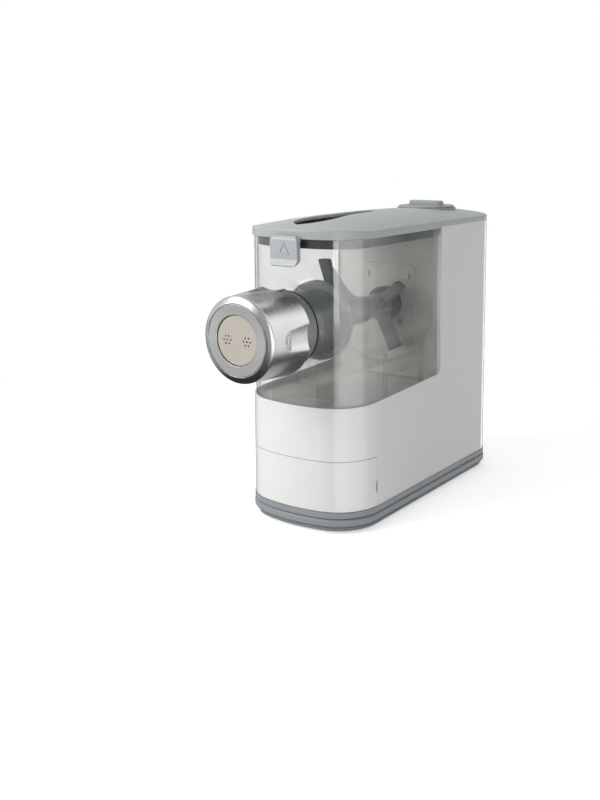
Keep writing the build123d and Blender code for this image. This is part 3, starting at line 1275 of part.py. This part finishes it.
with BuildPart() as board_screws:
    for x, z in board_screw_spots:
        rod(x, z, 2.4, board_front_y - 1.5, board_front_y)
        rod(x, z, board_screw_radius, board_front_y, board_post_end - 1.5)
save(board_screws, "board_screws")

gland_flange = 8.0
gland_bore = 3.6
gland_wall_y = rear_y - shell_inner
gland_back_y = rear_y - 0.1

with BuildPart() as cord_gland:
    rod(gland_x, gland_z, gland_radius, gland_wall_y - 4, gland_back_y)
    rod(gland_x, gland_z, gland_flange, gland_back_y - 0.9, gland_back_y)
    rod(gland_x, gland_z, gland_flange, gland_wall_y - 3.8, gland_wall_y - 0.8)
    rod(gland_x, gland_z, gland_bore, gland_wall_y - 6, rear_y, mode=Mode.SUBTRACT)
save(cord_gland, "cord_gland")
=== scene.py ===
"""Looks of the electric pasta maker: camera, materials, the turned lock ring and the studio round it."""

import json
import math

import bpy
from mathutils import Matrix, Vector


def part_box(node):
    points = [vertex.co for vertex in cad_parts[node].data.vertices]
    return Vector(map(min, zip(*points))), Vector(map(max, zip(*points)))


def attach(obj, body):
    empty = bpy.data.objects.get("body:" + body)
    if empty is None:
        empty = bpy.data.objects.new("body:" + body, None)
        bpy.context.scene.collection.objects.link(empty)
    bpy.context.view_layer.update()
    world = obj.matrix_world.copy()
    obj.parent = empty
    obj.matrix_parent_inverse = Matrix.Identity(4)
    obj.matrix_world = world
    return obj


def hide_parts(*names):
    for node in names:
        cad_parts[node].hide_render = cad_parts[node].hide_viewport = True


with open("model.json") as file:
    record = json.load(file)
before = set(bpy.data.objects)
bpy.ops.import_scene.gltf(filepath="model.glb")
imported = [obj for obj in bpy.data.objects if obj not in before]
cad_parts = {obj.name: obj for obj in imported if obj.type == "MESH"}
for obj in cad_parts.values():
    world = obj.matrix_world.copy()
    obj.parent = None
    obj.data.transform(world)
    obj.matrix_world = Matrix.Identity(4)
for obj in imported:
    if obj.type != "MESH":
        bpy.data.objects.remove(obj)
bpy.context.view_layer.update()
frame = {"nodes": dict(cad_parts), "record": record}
nodes = frame["nodes"]

# the lock ring's place in the frame, and its axis, which lies along Y
ring_low, ring_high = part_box("lock_ring")
axis_x, axis_z = 0.0, (ring_low[2] + ring_high[2]) / 2

# ---------------------------------------------------------------------------
# Camera at the photograph's viewing angle
# ---------------------------------------------------------------------------

PHOTO_WIDTH, PHOTO_HEIGHT = 600, 800
PHOTO_CENTRE_X, PHOTO_CENTRE_Y = 340.73, 394.91      # where the lens axis meets the photograph
FOCAL_PIXELS = 998.15
CAMERA_PLACE = Vector((0.53218, -0.79553, 0.35144))
CAMERA_TURN = math.radians(34.555)
CAMERA_TILT = math.radians(14.454)
CAMERA_ROLL = math.radians(-0.287)
SENSOR = 36.0           # millimetres
CLEAR_LAYERS = 32       # clear surfaces that a ray can pass, as the lid, chamber and trough overlap in view


def make_camera():
    data = bpy.data.cameras.new("camera")
    camera = bpy.data.objects.new("camera", data)
    bpy.context.scene.collection.objects.link(camera)
    back = Vector((math.sin(CAMERA_TURN) * math.cos(CAMERA_TILT),
                   -math.cos(CAMERA_TURN) * math.cos(CAMERA_TILT), math.sin(CAMERA_TILT)))
    level = Vector((math.cos(CAMERA_TURN), math.sin(CAMERA_TURN), 0))
    rise = back.cross(level)
    right = level * math.cos(CAMERA_ROLL) + rise * math.sin(CAMERA_ROLL)
    up = back.cross(right)
    turn = Matrix((right, up, back)).transposed().to_4x4()
    camera.matrix_world = Matrix.Translation(CAMERA_PLACE) @ turn
    data.sensor_fit = "AUTO"
    data.sensor_width = SENSOR
    data.lens = FOCAL_PIXELS * SENSOR / PHOTO_HEIGHT
    data.shift_x = (PHOTO_WIDTH / 2 - PHOTO_CENTRE_X) / PHOTO_HEIGHT
    data.shift_y = (PHOTO_CENTRE_Y - PHOTO_HEIGHT / 2) / PHOTO_HEIGHT
    bpy.context.scene.camera = camera


make_camera()
bpy.context.scene.view_settings.view_transform = "Standard"
bpy.context.scene.cycles.transparent_max_bounces = CLEAR_LAYERS

# ---------------------------------------------------------------------------
# Node trees
# ---------------------------------------------------------------------------

MIX_FACTOR, MIX_FIRST, MIX_SECOND, MIX_RESULT = 0, 6, 7, 2       # sockets that a mix of colours uses
NOISE_LOW, NOISE_HIGH = 0.3, 0.7        # usual range of a noise's values
BEVEL_SAMPLES = 4


def grey(level):
    return (level, level, level, 1.0)


def shade(colour, factor):
    return tuple(channel * factor for channel in colour) + (1.0,)


class Graph:
    """Node tree of a material or a world, with short calls that add and join nodes."""

    def __init__(self, owner, output):
        owner.use_nodes = True
        self.owner = owner
        self.tree = owner.node_tree
        self.tree.nodes.clear()
        self.out = self.add(output)
        self.coordinates = self.add("ShaderNodeTexCoord").outputs

    def add(self, kind, settings=None, **inputs):
        """New node. An input named with underscores stands for the socket whose name has spaces."""
        node = self.tree.nodes.new(kind)
        for key, value in (settings or {}).items():
            setattr(node, key, value)
        for key, value in inputs.items():
            self.put(node.inputs[key.replace("_", " ")], value)
        return node

    def put(self, socket, value):
        """Joins a socket to another node's output, or gives it a constant."""
        if isinstance(value, bpy.types.NodeSocket):
            self.tree.links.new(value, socket)
        else:
            socket.default_value = value

    def feed(self, node, *values):
        """First output of a node whose inputs take these values in turn."""
        for socket, value in zip(node.inputs, values):
            self.put(socket, value)
        return node.outputs[0]

    def noise(self, scale, detail=3.0, roughness=0.55, vector=None):
        place = vector or self.coordinates["Object"]
        node = self.add("ShaderNodeTexNoise", Vector=place, Scale=scale, Detail=detail, Roughness=roughness)
        return node.outputs["Fac"]

    def spread(self, value, low, high):
        """Noise value moved from its usual range to low..high."""
        node = self.add("ShaderNodeMapRange", Value=value, From_Min=NOISE_LOW, From_Max=NOISE_HIGH,
                        To_Min=low, To_Max=high)
        return node.outputs["Result"]

    def fade(self, value, start, end):
        """Value turned into 0 up to start and 1 from end on, softly between them."""
        node = self.add("ShaderNodeMapRange", {"interpolation_type": "SMOOTHSTEP"},
                        Value=value, From_Min=start, From_Max=end)
        return node.outputs["Result"]

    def mix(self, factor, first, second):
        """Mix of two colours."""
        node = self.add("ShaderNodeMix", {"data_type": "RGBA"})
        self.put(node.inputs[MIX_FACTOR], factor)
        self.put(node.inputs[MIX_FIRST], first)
        self.put(node.inputs[MIX_SECOND], second)
        return node.outputs[MIX_RESULT]

    def tint(self, value, colour, darkest, lightest):
        """Colour that a noise value moves between two of its shades."""
        return self.mix(self.spread(value, 0.0, 1.0), shade(colour, darkest), shade(colour, lightest))

    def calc(self, operation, *values):
        return self.feed(self.add("ShaderNodeMath", {"operation": operation}), *values)

    def distance(self, first, second):
        """Distance from an axis, given the two lengths across it."""
        return self.calc("SQRT", self.calc("ADD", self.calc("MULTIPLY", first, first),
                                           self.calc("MULTIPLY", second, second)))

    def bump(self, height, strength, distance, edge=None):
        """Normal of a surface with small bumps, whose edges look rounded where edge gives a radius."""
        node = self.add("ShaderNodeBump", Height=height, Strength=strength, Distance=distance)
        if edge:
            bevel = self.add("ShaderNodeBevel", {"samples": BEVEL_SAMPLES}, Radius=edge)
            self.put(node.inputs["Normal"], bevel.outputs["Normal"])
        return node.outputs["Normal"]

    def shader(self, kind, **inputs):
        return self.add("ShaderNode" + kind, **inputs).outputs[0]

    def blend(self, factor, first, second):
        """Mix of two shaders."""
        return self.feed(self.add("ShaderNodeMixShader"), factor, first, second)

    def rays(self):
        """Two values: 1 for a ray from the camera, also through something clear, and 1 for a reflection."""
        path = self.add("ShaderNodeLightPath").outputs
        seen = self.calc("MAXIMUM", path["Is Camera Ray"], path["Is Transmission Ray"])
        return seen, path["Is Glossy Ray"]

    def surface(self, shader):
        self.put(self.out.inputs["Surface"], shader)
        return self.owner


# ---------------------------------------------------------------------------
# Materials
# ---------------------------------------------------------------------------

GLOSS_DRIFT = 0.005             # share by which a moulding's roughness drifts
COAT_ROUGHNESS = 0.08
BRUSHED_LINES = 2600.0          # scale of the brushing across its lines
BRUSHED_ROUND = 3.0             # and along them
CLEAR_FACING = 0.04             # share of the light that a clear wall mirrors when seen straight on
CLEAR_EVEN = 0.5                # blend at which a layer weight is one less the cosine of the angle of view
CLEAR_GRAZING_POWER = 5.0
CLEAR_ROUGHNESS = 0.04
CLEAR_MILK = grey(0.75)


def new_material(name):
    return Graph(bpy.data.materials.new(name), "ShaderNodeOutputMaterial")


def moulded(name, colour, roughness, grain=900.0, strength=0.10, coat=0.0, edge=0.0004, cast=0.04):
    """Moulded plastic: fine grain, colour and gloss that drift slightly, softened edges."""
    graph = new_material(name)
    tint = graph.tint(graph.noise(scale=9.0, detail=4.0), colour, darkest=1 - cast, lightest=1 + cast)
    gloss = graph.spread(graph.noise(scale=45.0),
                         low=roughness * (1 - GLOSS_DRIFT), high=roughness * (1 + GLOSS_DRIFT))
    normal = graph.bump(graph.noise(grain, detail=2.0), strength, distance=0.00008, edge=edge)
    return graph.surface(graph.shader("BsdfPrincipled", Base_Color=tint, Roughness=gloss, Normal=normal,
                                      Coat_Weight=coat, Coat_Roughness=COAT_ROUGHNESS))


def rubber(name, colour):
    """Rubber: matt, with a fine powdery grain and paler dust."""
    graph = new_material(name)
    tint = graph.tint(graph.noise(scale=60.0, detail=5.0), colour, darkest=1.0, lightest=1.42)
    normal = graph.bump(graph.noise(scale=1400.0, detail=2.0), strength=0.35, distance=0.0001, edge=0.0003)
    return graph.surface(graph.shader("BsdfPrincipled", Base_Color=tint, Roughness=0.72, Normal=normal))


def turned_steel(name, colour, roughness):
    """Steel brushed round the lock ring's axis."""
    graph = new_material(name)
    place = graph.add("ShaderNodeSeparateXYZ", Vector=graph.coordinates["Object"]).outputs
    side = graph.calc("SUBTRACT", place["X"], axis_x)
    rise = graph.calc("SUBTRACT", place["Z"], axis_z)
    reach = graph.distance(side, rise)
    turn = graph.calc("ARCTAN2", rise, side)
    lathe = graph.add("ShaderNodeCombineXYZ",
                      X=graph.calc("MULTIPLY", reach, BRUSHED_LINES),
                      Y=graph.calc("MULTIPLY", place["Y"], BRUSHED_LINES),
                      Z=graph.calc("MULTIPLY", turn, BRUSHED_ROUND))
    lines = graph.noise(scale=1.0, detail=4.0, roughness=0.7, vector=lathe.outputs["Vector"])
    tint = graph.tint(lines, colour, darkest=0.95, lightest=1.04)
    gloss = graph.calc("ADD", graph.spread(lines, low=roughness * 0.8, high=roughness * 1.25),
                       graph.spread(graph.noise(scale=30.0), low=-0.02, high=0.03))
    normal = graph.bump(lines, strength=0.08, distance=0.00003, edge=0.0004)
    around = graph.add("ShaderNodeTangent", {"direction_type": "RADIAL", "axis": "Y"}).outputs["Tangent"]
    return graph.surface(graph.shader("BsdfPrincipled", Base_Color=tint, Metallic=1.0, Roughness=gloss,
                                      Normal=normal, Anisotropic=0.6, Tangent=around))


def metal(name, colour, roughness, grain=400.0):
    """Plain metal with a fine finish and slightly cloudy gloss."""
    graph = new_material(name)
    finish = graph.noise(grain, detail=4.0, roughness=0.6)
    tint = graph.tint(finish, colour, darkest=0.88, lightest=1.06)
    gloss = graph.spread(graph.noise(scale=80.0, detail=4.0), low=roughness * 0.8, high=roughness * 1.3)
    normal = graph.bump(finish, strength=0.12, distance=0.00004, edge=0.00025)
    return graph.surface(graph.shader("BsdfPrincipled", Base_Color=tint, Metallic=1.0, Roughness=gloss,
                                      Normal=normal))


def clear(name, colour, sheen, haze):
    """Clear moulding: a tint and a haze, under a reflection that grows at grazing angles."""
    graph = new_material(name)
    tint = graph.tint(graph.noise(scale=14.0), colour, darkest=0.99, lightest=1.01)
    normal = graph.bump(graph.noise(scale=30.0, detail=2.0), strength=0.03, distance=0.0004)
    through = graph.shader("BsdfTransparent", Color=tint)
    body = graph.blend(haze, through, graph.shader("BsdfDiffuse", Color=CLEAR_MILK))
    mirror = graph.shader("BsdfGlossy", Color=grey(1.0), Roughness=CLEAR_ROUGHNESS, Normal=normal)
    # the same on both faces of a wall, as what passes through isn't bent
    facing = graph.add("ShaderNodeLayerWeight", Blend=CLEAR_EVEN, Normal=normal).outputs["Facing"]
    grazing = graph.calc("POWER", facing, CLEAR_GRAZING_POWER)
    growth = graph.calc("MULTIPLY", grazing, (1 - CLEAR_FACING) * sheen)
    mirrored = graph.calc("ADD", growth, CLEAR_FACING * sheen)
    return graph.surface(graph.blend(mirrored, body, mirror))


WHITE = (0.81, 0.81, 0.795)

# colour, roughness, scale and strength of the grain, coat, radius of softened edges, drift of the colour
PLASTICS = {
    "shell_white": (WHITE, 0.26, 700.0, 0.03, 0.30, 0.0005, 0.01),
    "drawer_white": (WHITE, 0.26, 700.0, 0.03, 0.30, 0.0004, 0.01),
    "base_grey": ((0.290, 0.310, 0.325), 0.52, 1200.0, 0.18, 0.0, 0.0005, 0.03),
    "deck_white": ((0.50, 0.50, 0.485), 0.35, 900.0, 0.06, 0.1, 0.0004, 0.02),
    "plate_grey": ((0.72, 0.715, 0.70), 0.40, 900.0, 0.10, 0.0, 0.0004, 0.02),
    "cap_grey": ((0.410, 0.440, 0.435), 0.36, 1000.0, 0.12, 0.10, 0.0005, 0.02),
    "clasp_grey": ((0.430, 0.455, 0.475), 0.36, 1000.0, 0.12, 0.10, 0.0004, 0.02),
    "rim_dark": ((0.045, 0.050, 0.054), 0.40, 900.0, 0.12, 0.0, 0.0003, 0.04),
    "knob_grey": ((0.320, 0.350, 0.345), 0.46, 1000.0, 0.14, 0.08, 0.0004, 0.02),
    "paddle_grey": ((0.135, 0.150, 0.158), 0.42, 900.0, 0.14, 0.05, 0.0005, 0.04),
    "tube_grey": ((0.230, 0.248, 0.256), 0.40, 900.0, 0.12, 0.08, 0.0005, 0.04),
    "disc_beige": ((0.47, 0.43, 0.375), 0.38, 900.0, 0.10, 0.05, 0.0003, 0.03),
    "gear_white": ((0.74, 0.72, 0.66), 0.45, 800.0),
    "case_black": ((0.030, 0.030, 0.033), 0.55, 1300.0, 0.25),
    "brush_black": ((0.04, 0.035, 0.03), 0.60, 1300.0, 0.25),
    "fan_grey": ((0.10, 0.10, 0.105), 0.50, 900.0, 0.15),
    "board_green": ((0.02, 0.12, 0.05), 0.45, 600.0, 0.20),
    "parts_dark": ((0.05, 0.05, 0.055), 0.50, 900.0, 0.15),
    "switch_black": ((0.03, 0.03, 0.032), 0.50, 900.0, 0.15),
    "tray_grey": ((0.42, 0.43, 0.44), 0.42, 900.0, 0.12),
}

# colour, roughness, scale of the finish
METALS = {
    "screw_steel": ((0.58, 0.58, 0.58), 0.32),
    "shaft_steel": ((0.60, 0.60, 0.61), 0.24),
    "bearing_bronze": ((0.50, 0.34, 0.18), 0.45, 1200.0),
    "motor_steel": ((0.45, 0.46, 0.47), 0.40),
    "magnet_dark": ((0.10, 0.10, 0.105), 0.60, 900.0),
    "armature_metal": ((0.42, 0.26, 0.16), 0.45, 900.0),
}

MATERIALS = {
    "clear_chamber": clear("clear_chamber", (0.94, 0.94, 0.935), sheen=1.0, haze=0.004),
    "trough_clear": clear("trough_clear", (0.92, 0.92, 0.915), sheen=0.5, haze=0.010),
    "ring_steel": turned_steel("ring_steel", (0.42, 0.42, 0.417), roughness=0.23),
    "rubber_black": rubber("rubber_black", (0.018, 0.018, 0.019)),
    "seal_black": rubber("seal_black", (0.012, 0.012, 0.013)),
}
MATERIALS.update({name: moulded(name, *look) for name, look in PLASTICS.items()})
MATERIALS.update({name: metal(name, *look) for name, look in METALS.items()})

for entry in frame["record"]["subparts"]:
    for slot in nodes[entry["node"]].material_slots:
        slot.material = MATERIALS[entry["material_slot"]]

# ---------------------------------------------------------------------------
# Lock ring: cone with a flat grooved face, a bevel and four finger scoops
# ---------------------------------------------------------------------------

RING_SPANS = 360                # faces round the ring
RING_CONE_ROWS = 56             # faces along the cone
RING_BEVEL_ROWS = 5             # faces along the bevel
RING_SHARP = math.radians(30)   # edges that turn by more than this stay sharp
RING_FRONT_RADIUS = 0.0372      # of the cone, behind the bevel
RING_REAR_RADIUS = 0.0400
RING_REAR_CORNER = 0.0010
RING_FACE = 0.0318              # radius of the flat front face
RING_BEVEL_DEPTH = 0.0034
RING_LIP = 0.0217               # radius of the opening in the front face
RING_LIP_DEPTH = 0.0040
RING_BORE = 0.0334
GROOVE_DEPTH = 0.0007
GROOVE_PLACE = 0.93             # of the way from the opening to the edge of the front face
GROOVE_CORNERS = [(0, -1.0), (1, -0.6), (1, 0.2), (0, 0.8)]     # depth and place, in depths of the groove
CHAMFER = 0.0002                # on small edges
SOFT_EDGE = 0.0003              # on the edges of the bevel and the rear corner
SHOULDER_DROP = 0.00012         # of the bevel's last row under the cone's front radius
SCOOPS = 4
SCOOP_RADIUS = 0.0300
SCOOP_DEPTH = 0.0039
SCOOP_SETBACK = 0.0285          # centre of the scoops' rounded ends behind the ring's face
SCOOP_SOFTNESS = 0.0007         # rounding of the scoops' edges
LEDGES = 3                      # they lie behind the tube's lugs
LEDGE_SWEEP = math.radians(40)
LEDGE_BORE = 0.0319
LEDGE_DEPTH = 0.0026


def soft_least(first, second, softness):
    """The smaller of two lengths, with the corner between them rounded."""
    share = max(0.0, softness - abs(first - second)) / softness
    return min(first, second) - share * share * softness / 4


def scoop_reach(turn, depth):
    """Distance from the axis to the nearest finger scoop's hollow, None where the scoop is far."""
    step = 2 * math.pi / SCOOPS
    off = turn - step * round(turn / step)
    radius = SCOOP_RADIUS
    if depth < SCOOP_SETBACK:
        radius = math.sqrt(max(0.0, SCOOP_RADIUS ** 2 - (SCOOP_SETBACK - depth) ** 2))
    centre = RING_REAR_RADIUS + SCOOP_RADIUS - SCOOP_DEPTH
    under = radius ** 2 - (centre * math.sin(off)) ** 2
    return centre * math.cos(off) - math.sqrt(under) if under > 0 else None


def face_rows():
    """Rows of the opening, the front face with its groove, and the bevel."""
    groove = RING_LIP + (RING_FACE - RING_LIP) * GROOVE_PLACE
    rows = [(RING_LIP_DEPTH, RING_BORE), (RING_LIP_DEPTH, RING_LIP),
            (CHAMFER, RING_LIP), (0.0, RING_LIP + CHAMFER)]
    rows += [(GROOVE_DEPTH * down, groove + GROOVE_DEPTH * out) for down, out in GROOVE_CORNERS]
    rows.append((0.0, RING_FACE - SOFT_EDGE))
    for number in range(RING_BEVEL_ROWS):
        share = number / RING_BEVEL_ROWS
        rows.append((SOFT_EDGE / 2 + (RING_BEVEL_DEPTH - 2 * SOFT_EDGE) * share,
                     RING_FACE + CHAMFER + (RING_FRONT_RADIUS - RING_FACE - 2 * CHAMFER) * share))
    return rows + [(RING_BEVEL_DEPTH - CHAMFER, RING_FRONT_RADIUS - SHOULDER_DROP)]


def cone_rows(turn, length):
    """Rows of the cone with its scoops, and of the corner behind it."""
    rows = []
    start = RING_BEVEL_DEPTH + SOFT_EDGE
    end = length - RING_REAR_CORNER
    for number in range(RING_CONE_ROWS + 1):
        share = number / RING_CONE_ROWS
        depth = start + (end - start) * share
        reach = RING_FRONT_RADIUS + (RING_REAR_RADIUS - RING_FRONT_RADIUS) * share
        hollow = scoop_reach(turn, depth)
        rows.append((depth, soft_least(reach, hollow, SCOOP_SOFTNESS) if hollow else reach))
    rim = rows[-1][1]
    return rows + [(length - SOFT_EDGE, rim - SOFT_EDGE), (length, rim - RING_REAR_CORNER)]


def throat_rows(turn, length):
    """Rows of the rear opening, which is narrower along the ledges."""
    ledge = turn % (2 * math.pi / LEDGES) < LEDGE_SWEEP
    throat = LEDGE_BORE if ledge else RING_BORE
    return [(length, throat + CHAMFER), (length - CHAMFER, throat), (length - LEDGE_DEPTH, throat),
            (length - LEDGE_DEPTH - CHAMFER / 2, RING_BORE)]


def make_lock_ring():
    """Ring of closed sections. A row is its depth behind the front face and its distance from the axis."""
    length = ring_high[1] - ring_low[1]
    turns = [2 * math.pi * column / RING_SPANS for column in range(RING_SPANS)]
    sections = [face_rows() + cone_rows(turn, length) + throat_rows(turn, length) for turn in turns]
    points = [(axis_x + reach * math.cos(turn), ring_low[1] + depth, axis_z + reach * math.sin(turn))
              for turn, section in zip(turns, sections) for depth, reach in section]
    rows = len(sections[0])
    faces = []
    for column in range(RING_SPANS):
        here = column * rows
        there = (column + 1) % RING_SPANS * rows
        for row in range(rows):
            after = (row + 1) % rows
            faces.append((here + row, here + after, there + after, there + row))
    mesh = bpy.data.meshes.new("lock_ring_turned")
    mesh.from_pydata(points, [], faces)
    mesh.validate()
    mesh.shade_smooth()
    mesh.set_sharp_from_angle(angle=RING_SHARP)
    mesh.materials.append(MATERIALS["ring_steel"])
    ring = bpy.data.objects.new("lock_ring_turned", mesh)
    bpy.context.scene.collection.objects.link(ring)
    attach(ring, "ring")
    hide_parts("lock_ring")


make_lock_ring()

# ---------------------------------------------------------------------------
# Paper floor
# ---------------------------------------------------------------------------

FLOOR_REACH = 4.0
FLOOR_DROP = 0.0002             # gap under the feet
FLOOR_PAPER = grey(0.90)
FLOOR_GLOW = 0.52               # added to the paper's light, so that it is seen white away from the shadow
FLOOR_FADE_START = 0.25         # from the machine's middle, where the paper starts to turn plain white
FLOOR_FADE_END = 0.75


def make_floor():
    """Paper floor that keeps a soft shadow. Reflections pass through it and show the studio."""
    mesh = bpy.data.meshes.new("floor")
    sides = ((-1, -1), (1, -1), (1, 1), (-1, 1))
    mesh.from_pydata([(x * FLOOR_REACH, y * FLOOR_REACH, -FLOOR_DROP) for x, y in sides], [], [(0, 1, 2, 3)])
    floor = bpy.data.objects.new("floor", mesh)
    bpy.context.scene.collection.objects.link(floor)
    graph = new_material("floor_white")
    seen, mirrored = graph.rays()
    paper = graph.shader("BsdfDiffuse", Color=FLOOR_PAPER)
    glow = graph.shader("Emission", Color=grey(1.0), Strength=graph.calc("MULTIPLY", seen, FLOOR_GLOW))
    lit = graph.feed(graph.add("ShaderNodeAddShader"), paper, glow)
    place = graph.add("ShaderNodeSeparateXYZ", Vector=graph.coordinates["Object"]).outputs
    far = graph.fade(graph.distance(place["X"], place["Y"]), FLOOR_FADE_START, FLOOR_FADE_END)
    white = graph.shader("Emission", Color=grey(1.0), Strength=1.0)
    paper_seen = graph.blend(graph.calc("MULTIPLY", far, seen), lit, white)
    open_way = graph.shader("BsdfTransparent", Color=grey(1.0))
    mesh.materials.append(graph.surface(graph.blend(mirrored, paper_seen, open_way)))


make_floor()

# ---------------------------------------------------------------------------
# World: softboxes and dark flags that only reflections see
# ---------------------------------------------------------------------------

# What reflections see, by direction: degrees from the front (-Y) towards the right (+X), and strength.
# The first list is for directions a little below the level, where upright walls reflect,
# the second for those above.
STUDIO_LOW = [(-180, 0.22), (-120, 0.30), (-95, 1.00), (-60, 1.60), (-38, 1.20), (-12, 0.30), (21, 0.15),
              (24, 2.6), (44, 4.4), (98, 4.4), (112, 2.2), (147.2, 1.9), (148.2, 0.08), (180, 0.08)]
STUDIO_HIGH = [(-180, 0.80), (-165, 1.70), (-110, 1.70), (-60, 1.20), (0, 0.70), (60, 0.60), (120, 0.70),
               (138, 2.60), (148, 2.60), (152, 0.20), (172, 0.20), (180, 0.60)]
STUDIO_TOP = 5.0                            # strength that a ramp's full white stands for
STUDIO_COLOUR = grey(0.8)
HORIZON_FROM, HORIZON_TO = -0.06, 0.06      # rise of the directions between the lower list and the upper one
GROUND_FROM, GROUND_TO = -0.60, -0.38       # and of those between the ground and the lower list
GROUND = 0.08
FILL = 0.30
FILL_COLOUR = (0.98, 0.99, 1.0, 1.0)


def by_direction(graph, share, strengths):
    """Strengths of a list as a colour, looked up by the direction's share of the way from -180 to 180."""
    ramp = graph.add("ShaderNodeValToRGB", Fac=share)
    stops = ramp.color_ramp.elements
    # the ramp's own two stops are its ends, and those between are made where they stay
    ends = {strengths[0][0]: stops[0], strengths[-1][0]: stops[-1]}
    for degrees, strength in strengths:
        stop = ends.get(degrees) or stops.new((degrees + 180) / 360)
        stop.color = grey(strength / STUDIO_TOP)
    return ramp.outputs["Color"]


def make_world():
    """White for the camera, an even fill for the surfaces, and the studio for reflections."""
    world = bpy.data.worlds.new("studio")
    bpy.context.scene.world = world
    graph = Graph(world, "ShaderNodeOutputWorld")
    aim = graph.add("ShaderNodeSeparateXYZ", Vector=graph.coordinates["Generated"]).outputs
    turn = graph.calc("ARCTAN2", aim["X"], graph.calc("MULTIPLY", aim["Y"], -1.0))
    share = graph.add("ShaderNodeMapRange", Value=turn, From_Min=-math.pi, From_Max=math.pi).outputs["Result"]
    lower = graph.mix(graph.fade(aim["Z"], GROUND_FROM, GROUND_TO), grey(GROUND / STUDIO_TOP),
                      by_direction(graph, share, STUDIO_LOW))
    whole = graph.mix(graph.fade(aim["Z"], HORIZON_FROM, HORIZON_TO), lower,
                      by_direction(graph, share, STUDIO_HIGH))
    strength = graph.calc("MULTIPLY", whole, STUDIO_TOP)
    studio = graph.shader("Background", Color=STUDIO_COLOUR, Strength=strength)
    even = graph.shader("Background", Color=FILL_COLOUR, Strength=FILL)
    white = graph.shader("Background", Color=grey(1.0), Strength=1.0)
    seen, mirrored = graph.rays()
    graph.surface(graph.blend(seen, graph.blend(mirrored, even, studio), white))


make_world()

# ---------------------------------------------------------------------------
# Lamps
# ---------------------------------------------------------------------------

LAMPS_AIM = (0.0, -0.02, 0.14)

# place, width, height, watts
LAMPS = {
    "key": ((-0.9, -1.3, 0.9), 1.0, 1.0, 17.0),
    "top": ((-0.1, 0.1, 1.6), 1.4, 1.4, 6.0),
    "corner_strip": ((0.7, -1.2, 0.5), 0.35, 1.1, 3.2),
}


def softbox(name, place, width, height, power):
    """Lamp with an even rectangular face, turned to the machine."""
    data = bpy.data.lights.new(name, "AREA")
    data.shape = "RECTANGLE"
    data.size = width
    data.size_y = height
    data.energy = power
    light = bpy.data.objects.new(name, data)
    bpy.context.scene.collection.objects.link(light)
    light.location = place
    light.rotation_euler = (Vector(LAMPS_AIM) - Vector(place)).to_track_quat("-Z", "Y").to_euler()


for name, lamp in LAMPS.items():
    softbox(name, *lamp)

bpy.context.view_layer.update()
